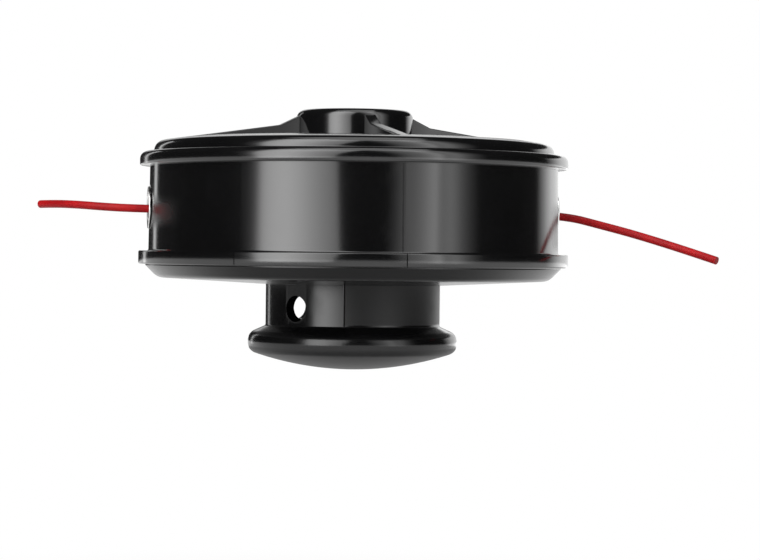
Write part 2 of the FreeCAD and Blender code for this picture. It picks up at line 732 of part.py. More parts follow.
def add_line_notches(body):
    """Notches in the edge of the upper spool flange, where the line ends are held for fitting."""
    half = size("line_notch_width") / 2
    depth = size("line_notch_depth")
    turn = size("line_notch_turn")
    plan = new_sketch(body, "line_notch_plan", "XY_Plane", offset=spool_top_z, turn=turn)
    rectangle(plan, spool_r - depth, spool_r + depth, -half, half)
    notch = pocket(body, "line_notch", plan, size("spool_flange"))
    around(body, "line_notches", [notch], size("line_notch_count"))


def make_winding(label, bottom_z, top_z):
    """The line wound in one chamber of the spool, as one ring with rounded shoulders."""
    body = new_body(label)
    gap = size("winding_clearance")
    outer_r = size("winding_diameter") / 2
    shoulder = size("line_diameter") / 2
    section = new_sketch(body, f"{label}_section", "XZ_Plane")
    outline(
        section,
        [
            (core_r, bottom_z + gap),
            (outer_r - shoulder, bottom_z + gap),
            (outer_r, bottom_z + gap + shoulder),
            (outer_r, top_z - gap - shoulder),
            (outer_r - shoulder, top_z - gap),
            (core_r, top_z - gap),
        ],
    )
    turned(body, f"{label}_form", section)
    return body


def make_washer():
    """The flat thrust washer between the spring and the spool."""
    body = new_body("thrust_washer")
    section = new_sketch(body, "washer_section", "XZ_Plane")
    clearance = size("run_clearance")
    rectangle(section, post_r + clearance * 2, pocket_r - clearance, web_top_z, washer_top_z)
    turned(body, "washer_form", section)
    return body


def make_spring():
    """The compression spring, with both ends ground flat."""
    body = new_body("compression_spring")
    wire = new_sketch(body, "spring_wire_section", "XZ_Plane")
    circle(wire, size("spring_diameter") / 2, washer_top_z, size("spring_wire"))
    coil = body.newObject("PartDesign::AdditiveHelix", "spring_coil")
    coil.Profile = wire
    coil.ReferenceAxis = (wire, ["V_Axis"])
    coil.Mode = "height-turns-angle"
    bind(coil, "Height", size("spring_length"))
    bind(coil, "Turns", size("spring_turns"))
    finish(body, coil)
    across = size("spring_diameter") + size("spring_wire") * 4
    low = new_sketch(body, "spring_low_plan", "XY_Plane", offset=washer_top_z)
    circle(low, 0, 0, across)
    pocket(body, "spring_low_end", low, size("spring_wire"))
    high = new_sketch(body, "spring_high_plan", "XY_Plane", offset=plate_bottom_z)
    circle(high, 0, 0, across)
    pocket(body, "spring_high_end", high, size("spring_wire"), along_normal=True)
    return body


def make_knob():
    """The hollow knob: neck with cross holes, sloping shoulder, rounded rim and domed bottom."""
    body = new_body("bump_knob")
    rim_r_out = size("knob_diameter") / 2 - size("knob_rim_inset")
    rim_top_z = shoulder_z - size("knob_shoulder_drop")
    rim_bottom_z = rim_top_z - size("knob_rim_height")
    tip_z = rim_bottom_z - size("knob_sag")
    inset = size("knob_rim_inset")
    half_rim = size("knob_rim_height") / 2
    rim_radius = (half_rim * half_rim + inset * inset) / (inset * 2)
    section = new_sketch(body, "knob_section", "XZ_Plane")
    outline(
        section,
        [
            (neck_inner_r, spool_bottom_z),
            (neck_r, spool_bottom_z),
            (neck_r, shoulder_z),
            (rim_r_out, rim_top_z),
            (rim_r_out, rim_bottom_z, rim_r_out + inset - rim_radius),
            (0, tip_z, 0),
            (0, tip_z + size("knob_floor")),
            (neck_inner_r, tip_z + size("knob_floor")),
        ],
    )
    turned(body, "knob_form", section)
    hole_plan = new_sketch(body, "hole_plan", "YZ_Plane", offset=neck_inner_r - size("neck_wall"))
    circle(hole_plan, 0, cover_bottom_z - size("hole_drop"), size("hole_diameter"))
    hole = pocket(body, "cross_hole", hole_plan, size("neck_wall") * 3, along_normal=True)
    around(body, "cross_holes", [hole], size("hole_count"), angle=size("hole_spread"))
    body.Placement = FreeCAD.Placement(
        FreeCAD.Vector(), FreeCAD.Rotation(FreeCAD.Vector(0, 0, 1), size("hole_turn").value)
    )
    bind(body, "Placement.Rotation.Angle", size("hole_turn"))
    return body


def route_points(route, side):
    """The points of a route on the left (-1) or right (1) side of the head."""
    face_x = eyelet_face_x.value
    return [FreeCAD.Vector(side * (face_x + x), y, eyelet_z.value + z) for x, y, z in route]


def route_path(vectors):
    """Straight runs joined by tangent arcs, each as large as its two runs allow, and the arc radii."""
    edges = []
    radii = []
    last = vectors[0]
    for before, corner, after in zip(vectors, vectors[1:], vectors[2:]):
        towards = (corner - before).normalize()
        onwards = (after - corner).normalize()
        turn = towards.getAngle(onwards)
        trim = ARC_SHARE * min((corner - before).Length, (after - corner).Length)
        radius = trim / math.tan(turn / 2)
        start = corner - towards * trim
        end = corner + onwards * trim
        inwards = (onwards - towards).normalize()
        middle = corner + inwards * (radius / math.cos(turn / 2) - radius)
        edges.append(Part.LineSegment(last, start).toShape())
        edges.append(Part.Arc(start, middle, end).toShape())
        radii.append(round(radius, 1))
        last = end
    edges.append(Part.LineSegment(last, vectors[-1]).toShape())
    return Part.Wire(edges), radii


def make_line(label, route, side):
    """A free line end: a round tube along its route."""
    points = route_points(route, side)
    path, radii = route_path(points)
    diameter = float(sizes.get("line_diameter"))
    end_face = Part.Wire(Part.Circle(points[0], points[1] - points[0], diameter / 2).toShape())
    tube = path.makePipeShell([end_face], True, False)
    expected = math.pi * diameter ** 2 / 4 * path.Length
    print(f"{label}: length {path.Length:.1f} mm, arc radii {radii}")
    if abs(tube.Volume - expected) > expected * VOLUME_SHARE:
        raise ValueError(f"{label} has the wrong volume")
    feature = doc.addObject("Part::Feature", label)
    feature.Label = label
    feature.Shape = tube
    feature.Placement = FreeCAD.Placement()
    return feature


def check_document(parts):
    """Stop if any object failed, or a sub-part's shape is empty or invalid."""
    for item in doc.Objects:
        if "Invalid" in item.State or "Error" in item.State:
            raise ValueError(f"{item.Name} failed")
    for part in parts:
        if part.Shape.isNull() or not part.Shape.isValid():
            raise ValueError(f"{part.Label} has a bad shape")


def main():
    """Build every sub-part and write one file for each."""
    parts = [
        make_top_case(),
        make_drum(),
        make_hub_nut(),
        make_eyelet("eyelet_left", HALF_TURN),
        make_eyelet("eyelet_right", 0.0),
        make_cover(),
        make_spring(),
        make_washer(),
        make_spool(),
        make_winding("line_winding_upper", middle_top_z, spool_top_z - size("spool_flange")),
        make_winding("line_winding_lower", lower_top_z, middle_bottom_z),
        make_knob(),
        make_line("line_left", LEFT_ROUTE, -1),
        make_line("line_right", RIGHT_ROUTE, 1),
    ]
    doc.recompute()
    check_document(parts)
    os.makedirs("parts", exist_ok=True)
    for part in parts:
        part.Shape.exportStep(f"parts/{part.Label}.step")
        print(f"{part.Label}: {part.Shape.Volume:.0f} mm3, {len(part.Shape.Solids)} solid")


main()
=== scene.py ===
import logging
import math
from dataclasses import dataclass, field
from enum import Enum
from typing import Any, Callable, Sequence

import bmesh
import bpy
from mathutils import Matrix, Vector


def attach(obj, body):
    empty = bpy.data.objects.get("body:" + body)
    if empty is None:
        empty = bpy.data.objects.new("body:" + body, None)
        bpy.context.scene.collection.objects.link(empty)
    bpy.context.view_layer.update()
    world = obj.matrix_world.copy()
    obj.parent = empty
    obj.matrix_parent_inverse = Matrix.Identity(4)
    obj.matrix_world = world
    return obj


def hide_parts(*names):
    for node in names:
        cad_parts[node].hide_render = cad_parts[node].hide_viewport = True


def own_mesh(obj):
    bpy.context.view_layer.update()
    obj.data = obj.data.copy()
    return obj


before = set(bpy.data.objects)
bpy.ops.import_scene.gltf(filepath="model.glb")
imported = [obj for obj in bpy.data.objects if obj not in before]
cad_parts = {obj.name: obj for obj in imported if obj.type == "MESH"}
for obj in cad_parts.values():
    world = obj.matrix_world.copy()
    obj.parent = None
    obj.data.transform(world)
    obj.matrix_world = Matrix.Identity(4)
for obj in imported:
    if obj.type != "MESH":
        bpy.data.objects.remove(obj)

LOG = logging.getLogger("trimmer_head")
MM = 0.001
SAME = 2e-6
NEAR = 0.01
FULL_TURN = 360.0
QUARTER_TURN = 90.0
ORIGIN = (0.0, 0.0, 0.0)
UP = (0.0, 0.0, 1.0)
WHITE = (1.0, 1.0, 1.0, 1.0)
MIX_FIRST = 6
MIX_SECOND = 7
MIX_RESULT = 2
HEX_SIDES = 6
Point = tuple[float, float, float]
Ring = tuple[float, float]
Span = tuple[float, float]
Tube = tuple[float, float, float]
Round = tuple[float, int]
Pattern = tuple[float, float]
Piece = bpy.types.Object
Settings = dict[str, Any]
Sockets = dict[Any, Any]


class Body(Enum):
    """The bodies of the head that pieces ride on."""

    CASE = "case"
    SPOOL = "spool_and_knob"


class Slot(Enum):
    """The material slots of the record."""

    CASE = "case_plastic"
    COVER = "cover_plastic"
    KNOB = "knob_plastic"
    SPOOL = "spool_plastic"
    NUT = "nut_steel"
    EYELET = "eyelet_metal"
    SPRING = "spring_steel"
    WASHER = "washer_steel"
    LINE = "trimmer_line"


class Join(Enum):
    """How one solid is combined with another."""

    ADD = "UNION"
    CUT = "DIFFERENCE"


class Pick(Enum):
    """What is selected in edit mode."""

    POINTS = "VERT"
    EDGES = "EDGE"


class Side(Enum):
    """The side of the head that a line end leaves from."""

    LEFT = -1
    RIGHT = 1


class Value:
    """A number that a node gives, with the arithmetic that adds Math nodes."""

    def __init__(self, graph: "Graph", socket: bpy.types.NodeSocket) -> None:
        """Keep the socket and the graph that it belongs to."""
        self.graph = graph
        self.socket = socket

    def _math(self, operation: str, first: Any, second: Any) -> "Value":
        """One Math node on two values or numbers."""
        return self.graph.value("ShaderNodeMath", {"operation": operation}, {0: first, 1: second})

    def __add__(self, other: Any) -> "Value":
        """This value plus another."""
        return self._math("ADD", self, other)

    def __radd__(self, other: Any) -> "Value":
        """A number plus this value."""
        return self._math("ADD", other, self)

    def __sub__(self, other: Any) -> "Value":
        """This value less another."""
        return self._math("SUBTRACT", self, other)

    def __rsub__(self, other: Any) -> "Value":
        """A number less this value."""
        return self._math("SUBTRACT", other, self)

    def __mul__(self, other: Any) -> "Value":
        """This value times another."""
        return self._math("MULTIPLY", self, other)

    def __rmul__(self, other: Any) -> "Value":
        """A number times this value."""
        return self._math("MULTIPLY", other, self)

    def ramp(self, low: float, high: float, start: float = 0.0, end: float = 1.0) -> "Value":
        """This value taken smoothly from one range to another.

        Args:
            low: Where the ramp starts.
            high: Where the ramp ends.
            start: The result at low and under it.
            end: The result at high and over it.

        Returns:
            The ramped value.
        """
        settings = {"interpolation_type": "SMOOTHSTEP"}
        inputs = {"Value": self, "From Min": low, "From Max": high, "To Min": start, "To Max": end}
        return self.graph.value("ShaderNodeMapRange", settings, inputs)


class Graph:
    """The nodes of one material, lamp or world."""

    def __init__(self, tree: bpy.types.NodeTree) -> None:
        """Start with an empty tree."""
        tree.nodes.clear()
        self.tree = tree

    def node(self, kind: str, settings: Settings, inputs: Sockets) -> bpy.types.Node:
        """Add any node: its settings first, then its sockets.

        Args:
            kind: The node's type.
            settings: Properties of the node; "stops" are the places and levels of a ramp.
            inputs: Values, sockets or Values by socket name or number.

        Returns:
            The new node.
        """
        made = self.tree.nodes.new(kind)
        for name, setting in settings.items():
            if name == "stops":
                self.set_stops(made.color_ramp, setting)
            else:
                setattr(made, name, setting)
        for name, given in inputs.items():
            if isinstance(given, Value):
                given = given.socket
            if isinstance(given, bpy.types.NodeSocket):
                self.tree.links.new(given, made.inputs[name])
            else:
                made.inputs[name].default_value = given
        return made

    @staticmethod
    def set_stops(ramp: bpy.types.ColorRamp, stops: Sequence[tuple[float, float]]) -> None:
        """Give a ramp its grey stops.

        Args:
            ramp: The ramp, with its two first stops.
            stops: Place and level of each stop.
        """
        while len(ramp.elements) < len(stops):
            ramp.elements.new(1.0)
        for element, (place, level) in zip(ramp.elements, stops):
            element.position = place
            element.color = (level, level, level, 1.0)

    def value(self, kind: str, settings: Settings, inputs: Sockets, output: Any = 0) -> Value:
        """Add any node and take one of its outputs as a value."""
        return Value(self, self.node(kind, settings, inputs).outputs[output])

    def place(self, scale: Point = (1.0, 1.0, 1.0)) -> bpy.types.NodeSocket:
        """Object coordinates, stretched along each axis for a pattern."""
        source = self.node("ShaderNodeTexCoord", {}, {}).outputs["Object"]
        return self.node("ShaderNodeMapping", {}, {"Vector": source, "Scale": scale}).outputs["Vector"]

    def along(self, way: Point) -> Value:
        """How far a point of the object lies along a direction, in metres."""
        inputs = {0: self.place(), 1: way}
        return self.value("ShaderNodeVectorMath", {"operation": "DOT_PRODUCT"}, inputs, "Value")

    def noise(self, place: bpy.types.NodeSocket, pattern: Pattern) -> Value:
        """Noise of about 0 to 1, by its waves per metre and its detail."""
        inputs = {"Vector": place, "Scale": pattern[0], "Detail": pattern[1]}
        return self.value("ShaderNodeTexNoise", {}, inputs)

    def mix(self, share: Value, first: Any, second: Any) -> bpy.types.NodeSocket:
        """A colour between a first and a second one, by the second one's share."""
        inputs = {"Factor": share, MIX_FIRST: first, MIX_SECOND: second}
        return self.node("ShaderNodeMix", {"data_type": "RGBA"}, inputs).outputs[MIX_RESULT]

    def bump(self, height: Value, depth: float) -> bpy.types.NodeSocket:
        """A normal bumped by a relief of 0 to 1, with its depth in metres."""
        return self.node("ShaderNodeBump", {}, {"Height": height, "Distance": depth}).outputs["Normal"]

    def surface(self, inputs: Sockets) -> None:
        """End the tree in a Principled shader with these sockets."""
        shader = self.node("ShaderNodeBsdfPrincipled", {}, inputs)
        self.node("ShaderNodeOutputMaterial", {}, {"Surface": shader.outputs["BSDF"]})


def new_material(name: str) -> tuple[bpy.types.Material, Graph]:
    """An empty material and its graph.

    Args:
        name: The material's name.

    Returns:
        The material, and the graph of its nodes.
    """
    material = bpy.data.materials.new(name)
    material.use_nodes = True
    return material, Graph(material.node_tree)


@dataclass(frozen=True)
class MouldedPlastic:
    """Injection moulded plastic with a fine spark-eroded grain, faint flow marks and rubbed spots."""

    name: str
    dark: Point
    light: Point
    gloss_rough: float
    worn_rough: float
    grain_depth: float
    specular: float = 0.85
    ior: float = 1.5
    grain_pattern: Pattern = (1700.0, 2.0)
    grain_share: float = 0.65
    pore_pattern: Pattern = (5200.0, 1.0)
    pore_share: float = 0.8
    flow_pattern: Pattern = (38.0, 4.0)
    flow_stretch: Point = (1.0, 1.0, 0.35)
    flow_range: Span = (0.35, 0.7)
    rub_pattern: Pattern = (120.0, 5.0)
    rub_range: Span = (0.58, 0.78)
    rub_share: float = 0.6
    base_share: float = 0.3
    dust: Point = (0.07, 0.07, 0.07)
    dust_pattern: Pattern = (2600.0, 2.0)
    dust_range: Span = (0.66, 0.8)
    dust_cover: float = 0.12

    def matt(self, graph: Graph) -> Any:
        """Extra roughness of areas that are matt."""
        return 0.0

    def material(self) -> bpy.types.Material:
        """Build the finish as a material.

        Returns:
            The material.
        """
        material, graph = new_material(self.name)
        place = graph.place()
        grain = graph.noise(place, self.grain_pattern)
        pores = graph.noise(place, self.pore_pattern)
        flow = graph.noise(graph.place(self.flow_stretch), self.flow_pattern).ramp(*self.flow_range)
        rubbed = graph.noise(place, self.rub_pattern).ramp(*self.rub_range)
        dust = graph.noise(place, self.dust_pattern).ramp(*self.dust_range)
        tint = graph.mix(flow, (*self.dark, 1.0), (*self.light, 1.0))
        spread = self.worn_rough - self.gloss_rough
        rough = rubbed * (spread * self.rub_share) + pores * (spread * self.pore_share)
        rough = rough + (self.gloss_rough - spread * self.base_share) + self.matt(graph)
        relief = grain * self.grain_share + pores * (1 - self.grain_share)
        graph.surface(
            {
                "Base Color": graph.mix(dust * self.dust_cover, tint, (*self.dust, 1.0)),
                "Roughness": rough,
                "Specular IOR Level": self.specular,
                "IOR": self.ior,
                "Normal": graph.bump(relief, self.grain_depth),
            }
        )
        return material


@dataclass(frozen=True)
class CasePlastic(MouldedPlastic):
    """The case's plastic, rubbed matt where the line chafes the drum beside its eyelets."""

    chafe_out: Span = (0.052, 0.0585)
    chafe_heights: Span = (-0.041, -0.0255)
    chafe_lean: float = 0.058
    chafe_blend: float = 0.005
    chafe_rough: float = 0.19

    def matt(self, graph: Graph) -> Value:
        """Extra roughness in a band beside each eyelet, lower where the line hangs down.

        Args:
            graph: The material's nodes.

        Returns:
            The roughness to add.
        """
        out = graph.along((1.0, 0.0, 0.0))
        beside = (out * out).ramp(self.chafe_out[0] ** 2, self.chafe_out[1] ** 2)
        low, high = self.chafe_heights
        over = graph.along((self.chafe_lean, 0.0, 1.0)).ramp(low, low + self.chafe_blend)
        under = graph.along(UP).ramp(high - self.chafe_blend, high, 1.0, 0.0)
        return beside * over * under * self.chafe_rough


@dataclass(frozen=True)
class KnobPlastic(MouldedPlastic):
    """The knob's plastic, matt on one half of the neck and on the domed bottom."""

    matt_way: Point = (0.976, -0.218, 0.0)
    seam_blend: float = 1e-4
    neck_end: float = -0.0645
    dome_start: float = -0.0705
    matt_blend: float = 0.0006
    matt_rough: float = 0.3

    def matt(self, graph: Graph) -> Value:
        """Extra roughness right of the neck's seam and below the rim.

        Args:
            graph: The material's nodes.

        Returns:
            The roughness to add.
        """
        height = graph.along(UP)
        half = graph.along(self.matt_way).ramp(-self.seam_blend, self.seam_blend)
        neck = half * height.ramp(self.neck_end, self.neck_end + self.matt_blend)
        dome = height.ramp(self.dome_start - 2 * self.matt_blend, self.dome_start, 1.0, 0.0)
        return (neck + dome) * self.matt_rough


@dataclass(frozen=True)
class PlatedMetal:
    """Turned and plated metal with fine tool marks, light stains and a varied polish."""

    name: str
    bright: Point
    dull: Point
    polish: float
    mark_stretch: Point
    mark_pattern: Pattern = (900.0, 2.0)
    mark_tint: float = 0.15
    mark_share: float = 0.7
    mark_depth: float = 4e-6
    stain_pattern: Pattern = (260.0, 5.0)
    stain_range: Span = (0.4, 0.72)
    stain_tint: float = 0.7
    stain_rough: float = 0.14
    speck_pattern: Pattern = (3200.0, 2.0)
    speck_rough: float = 0.08

    def material(self) -> bpy.types.Material:
        """Build the finish as a material.

        Returns:
            The material.
        """
        material, graph = new_material(self.name)
        place = graph.place()
        stain = graph.noise(place, self.stain_pattern).ramp(*self.stain_range)
        marks = graph.noise(graph.place(self.mark_stretch), self.mark_pattern)
        speck = graph.noise(place, self.speck_pattern)
        dulled = stain * self.stain_tint + marks * self.mark_tint
        relief = marks * self.mark_share + speck * (1 - self.mark_share)
        graph.surface(
            {
                "Base Color": graph.mix(dulled, (*self.bright, 1.0), (*self.dull, 1.0)),
                "Metallic": 1.0,
                "Roughness": stain * self.stain_rough + speck * self.speck_rough + self.polish,
                "Normal": graph.bump(relief, self.mark_depth),
            }
        )
        return material


@dataclass(frozen=True)
class NylonLine:
    """Drawn nylon line: a deep clear colour with draw marks along it and slight waves of shade."""

    name: str
    deep: Point
    bright: Point
    rough: float = 0.28
    specular: float = 0.15
    glow: float = 0.12
    glow_radius: Point = (0.004, 0.0008, 0.0006)
    glow_scale: float = 0.3
    shade_pattern: Pattern = (150.0, 4.0)
    shade_range: Span = (0.34, 0.68)
    shade_share: float = 0.8
    draw_pattern: Pattern = (4200.0, 2.0)
    draw_stretch: Point = (0.12, 1.0, 1.0)
    draw_rough: float = 0.1
    draw_share: float = 0.6
    draw_depth: float = 1.2e-5
    speck_pattern: Pattern = (1900.0, 3.0)
    speck_rough: float = 0.16

    def material(self) -> bpy.types.Material:
        """Build the finish as a material.

        Returns:
            The material.
        """
        material, graph = new_material(self.name)
        place = graph.place()
        shade = graph.noise(place, self.shade_pattern).ramp(*self.shade_range)
        draw = graph.noise(graph.place(self.draw_stretch), self.draw_pattern)
        speck = graph.noise(place, self.speck_pattern)
        share = shade * self.shade_share + draw * (1 - self.shade_share)
        relief = draw * self.draw_share + speck * (1 - self.draw_share)
        graph.surface(
            {
                "Base Color": graph.mix(share, (*self.deep, 1.0), (*self.bright, 1.0)),
                "Roughness": speck * self.speck_rough + draw * self.draw_rough + self.rough,
                "Specular IOR Level": self.specular,
                "Subsurface Weight": self.glow,
                "Subsurface Radius": self.glow_radius,
                "Subsurface Scale": self.glow_scale,
                "Normal": graph.bump(relief, self.draw_depth),
            }
        )
        return material


CASE_BLACK = CasePlastic(
    "case_black",
    dark=(0.0022, 0.0022, 0.0024),
    light=(0.0042, 0.0042, 0.0045),
    gloss_rough=0.12,
    worn_rough=0.2,
    grain_depth=3e-6,
)
COVER_BLACK = MouldedPlastic(
    "cover_black",
    dark=(0.0026, 0.0026, 0.0028),
    light=(0.005, 0.005, 0.0053),
    gloss_rough=0.2,
    worn_rough=0.32,
    grain_depth=8e-6,
    specular=0.4,
)
KNOB_BLACK = KnobPlastic(
    "knob_black",
    dark=(0.003, 0.003, 0.0032),
    light=(0.006, 0.006, 0.0064),
    gloss_rough=0.16,
    worn_rough=0.26,
    grain_depth=8e-6,
    specular=0.5,
)
SPOOL_GREY = MouldedPlastic(
    "spool_grey",
    dark=(0.035, 0.036, 0.038),
    light=(0.05, 0.051, 0.053),
    gloss_rough=0.34,
    worn_rough=0.5,
    grain_depth=1.6e-5,
)
ROUND_MARKS = (1.0, 1.0, 6.0)
SIDE_MARKS = (6.0, 1.0, 1.0)
NUT_ZINC = PlatedMetal(
    "nut_zinc", bright=(0.72, 0.71, 0.66), dull=(0.46, 0.45, 0.41), polish=0.24, mark_stretch=ROUND_MARKS
)
EYELET_BRIGHT = PlatedMetal(
    "eyelet_bright", bright=(0.86, 0.86, 0.85), dull=(0.62, 0.62, 0.61), polish=0.14, mark_stretch=SIDE_MARKS
)
SPRING_WIRE = PlatedMetal(
    "spring_wire", bright=(0.5, 0.5, 0.51), dull=(0.27, 0.27, 0.28), polish=0.3, mark_stretch=ROUND_MARKS
)
WASHER_BLANK = PlatedMetal(
    "washer_blank", bright=(0.66, 0.66, 0.66), dull=(0.42, 0.42, 0.41), polish=0.26, mark_stretch=ROUND_MARKS
)
LINE_RED = NylonLine("line_red", deep=(0.31, 0.006, 0.009), bright=(0.45, 0.009, 0.011))


class Finishes:
    """Every finish of the head, by the record's slot."""

    def __init__(self) -> None:
        """Build each material once."""
        chosen = {
            Slot.CASE: CASE_BLACK,
            Slot.COVER: COVER_BLACK,
            Slot.KNOB: KNOB_BLACK,
            Slot.SPOOL: SPOOL_GREY,
            Slot.NUT: NUT_ZINC,
            Slot.EYELET: EYELET_BRIGHT,
            Slot.SPRING: SPRING_WIRE,
            Slot.WASHER: WASHER_BLANK,
            Slot.LINE: LINE_RED,
        }
        self.materials = {slot: finish.material() for slot, finish in chosen.items()}

    def dress(self, piece: Piece, slot: Slot) -> None:
        """Give a piece its only material."""
        piece.data.materials.clear()
        piece.data.materials.append(self.materials[slot])


def about_axis(degrees: float) -> Matrix:
    """A turn about the head's axis."""
    return Matrix.Rotation(math.radians(degrees), 3, "Z")


def towards(side: Side) -> Matrix:
    """The turn that lays an upright piece along the eyelets' axis, to one side."""
    return Matrix.Rotation(math.radians(side.value * QUARTER_TURN), 3, "Y")


def evenly(count: int) -> list[float]:
    """Turns that share a full circle evenly, in degrees."""
    return [index * FULL_TURN / count for index in range(count)]


def arc(centre: Ring, radius: float, first: float, last: float, steps: int) -> list[Ring]:
    """Rings along an arc of a section.

    Args:
        centre: Radius and height of the arc's centre.
        radius: Radius of the arc.
        first: Angle of the first ring, in degrees up from the horizontal.
        last: Angle of the last ring.
        steps: Number of facets between them.

    Returns:
        The rings, both ends included.
    """
    angles = [math.radians(first + (last - first) * step / steps) for step in range(steps + 1)]
    return [(centre[0] + radius * math.cos(angle), centre[1] + radius * math.sin(angle)) for angle in angles]


def on_ring(point: Vector, ring: Ring) -> bool:
    """Whether a point in millimetres lies on a ring of a radius and a height."""
    return abs(math.hypot(point.x, point.y) - ring[0]) < NEAR and abs(point.z - ring[1]) < NEAR


class Bench:
    """Hand modelling of one mesh at a time; sizes are given in millimetres."""

    @staticmethod
    def clear() -> None:
        """Leave edit mode, with nothing selected."""
        if bpy.context.object is not None and bpy.context.object.mode != "OBJECT":
            bpy.ops.object.mode_set(mode="OBJECT")
        bpy.ops.object.select_all(action="DESELECT")

    @staticmethod
    def hold(piece: Piece) -> None:
        """Make a piece the only selected one.

        Args:
            piece: The piece to select.
        """
        Bench.clear()
        piece.select_set(True)
        bpy.context.view_layer.objects.active = piece

    @staticmethod
    def edit(piece: Piece) -> None:
        """Open a piece in edit mode, all selected.

        Args:
            piece: The piece to open.
        """
        Bench.hold(piece)
        bpy.ops.object.mode_set(mode="EDIT")
        bpy.ops.mesh.select_all(action="SELECT")

    @staticmethod
    def named(name: str) -> Piece:
        """Name the primitive that was just added.

        Args:
            name: The piece's name.

        Returns:
            The piece.
        """
        piece = bpy.context.object
        piece.name = name
        return piece

    @staticmethod
    def pick(what: Pick, test: Callable[..., bool]) -> int:
        """Select points or edges by their place.

        Args:
            what: Points or edges.
            test: Takes a point, or the two ends of an edge, in millimetres.

        Returns:
            How many are selected.
        """
        bpy.ops.mesh.select_mode(type=what.value)
        bpy.ops.mesh.select_all(action="DESELECT")
        mesh = bpy.context.edit_object.data
        sheet = bmesh.from_edit_mesh(mesh)
        found = 0
        for part in sheet.verts if what is Pick.POINTS else sheet.edges:
            ends = [part] if what is Pick.POINTS else part.verts
            if test(*(point.co / MM for point in ends)):
                part.select_set(True)
                found += 1
        bmesh.update_edit_mesh(mesh)
        return found

    @staticmethod
    def bevel(edge: Round) -> None:
        """Round the selected edges.

        Args:
            edge: Radius of the rounding and number of facets in it.
        """
        size, steps = edge
        bpy.ops.mesh.bevel(
            offset_type="OFFSET", offset=size * MM, segments=steps, affect="EDGES", clamp_overlap=False
        )

    @staticmethod
    def settle() -> Piece:
        """Merge doubles, turn the faces outwards and leave edit mode.

        Returns:
            The piece that was open.
        """
        bpy.ops.mesh.select_mode(type="VERT")
        bpy.ops.mesh.select_all(action="SELECT")
        bpy.ops.mesh.remove_doubles(threshold=SAME)
        bpy.ops.mesh.normals_make_consistent(inside=False)
        bpy.ops.object.mode_set(mode="OBJECT")
        return bpy.context.object

    @staticmethod
    def combine(piece: Piece, tool: Piece, way: Join) -> None:
        """Add a tool solid to a piece, or cut it away, and drop the tool.

        Args:
            piece: The solid that stays.
            tool: The solid that is used up.
            way: Add or cut.
        """
        Bench.hold(piece)
        modifier = piece.modifiers.new("join", "BOOLEAN")
        modifier.operation = way.value
        modifier.solver = "EXACT"
        modifier.object = tool
        bpy.ops.object.modifier_apply(modifier=modifier.name)
        bpy.data.objects.remove(tool)

    @staticmethod
    def repeat(piece: Piece, tool: Piece, turns: Sequence[float]) -> None:
        """Add copies of a tool solid to a piece, turned about the axis, and drop the tool.

        Args:
            piece: The solid that stays.
            tool: The solid that is copied.
            turns: The turn of each copy, in degrees.
        """
        for turn in turns:
            twin = Bench.shift(Bench.copy(tool, f"{tool.name}_copy"), about_axis(turn))
            Bench.combine(piece, twin, Join.ADD)
        bpy.data.objects.remove(tool)

    @staticmethod
    def block(name: str, low: Point, high: Point) -> Piece:
        """A block between two corners, left open in edit mode.

        Args:
            name: The piece's name.
            low: The lowest corner.
            high: The highest corner.

        Returns:
            The block.
        """
        Bench.clear()
        bpy.ops.mesh.primitive_cube_add(size=MM, enter_editmode=True)
        bpy.ops.transform.resize(value=[b - a for a, b in zip(low, high)])
        bpy.ops.transform.translate(value=[(a + b) / 2 * MM for a, b in zip(low, high)])
        return Bench.named(name)

    @staticmethod
    def rod(name: str, radius: float, start: float, end: float, sides: int) -> Piece:
        """A round or flat-sided rod on the axis, left open in edit mode.

        Args:
            name: The piece's name.
            radius: To its corners.
            start: Lower end.
            end: Upper end.
            sides: Number of sides.

        Returns:
            The rod.
        """
        Bench.clear()
        bpy.ops.mesh.primitive_cylinder_add(
            vertices=sides, radius=radius * MM, depth=(end - start) * MM, enter_editmode=True
        )
        bpy.ops.transform.translate(value=(0.0, 0.0, (start + end) / 2 * MM))
        return Bench.named(name)

    @staticmethod
    def upright() -> None:
        """Turn the selected flat section upright, into the XZ plane."""
        turn = math.radians(QUARTER_TURN)
        bpy.ops.transform.rotate(value=turn, orient_axis="X", center_override=ORIGIN)

    @staticmethod
    def wind(piece: Piece, steps: int, turns: int, rise: float, angle: float = math.tau) -> None:
        """Sweep an upright section round the axis, and leave the coil open in edit mode.

        Args:
            piece: The section.
            steps: Facets in a turn.
            turns: Number of turns.
            rise: Climb of a turn.
            angle: Way round of a turn, in radians.
        """
        bpy.ops.object.mode_set(mode="OBJECT")
        screw = piece.modifiers.new("wind", "SCREW")
        screw.axis = "Z"
        screw.steps = steps
        screw.render_steps = steps
        screw.iterations = turns
        screw.screw_offset = rise * MM
        screw.angle = angle
        Bench.hold(piece)
        bpy.ops.object.modifier_apply(modifier=screw.name)
        Bench.edit(piece)

    @staticmethod
    def shift(piece: Piece, turn: Matrix, move: Point = ORIGIN) -> Piece:
        """Turn a finished mesh about the origin and move it, in its own points.

        Args:
            piece: The finished piece.
            turn: The turn.
            move: The way that it is moved.

        Returns:
            The piece.
        """
        piece.data.transform(Matrix.Translation(Vector(move) * MM) @ turn.to_4x4())
        piece.data.update()
        return piece

    @staticmethod
    def copy(piece: Piece, name: str) -> Piece:
        """A copy of a piece with a mesh of its own.

        Args:
            piece: The piece to copy.
            name: The copy's name.

        Returns:
            The copy.
        """
        twin = piece.copy()
        twin.data = piece.data.copy()
        twin.name = name
        bpy.context.scene.collection.objects.link(twin)
        return twin

    @staticmethod
    def smooth(piece: Piece, angle: float = 32.0) -> None:
        """Shade the faces smooth where they meet at less than an angle."""
        Bench.hold(piece)
        bpy.ops.object.shade_smooth_by_angle(angle=math.radians(angle))


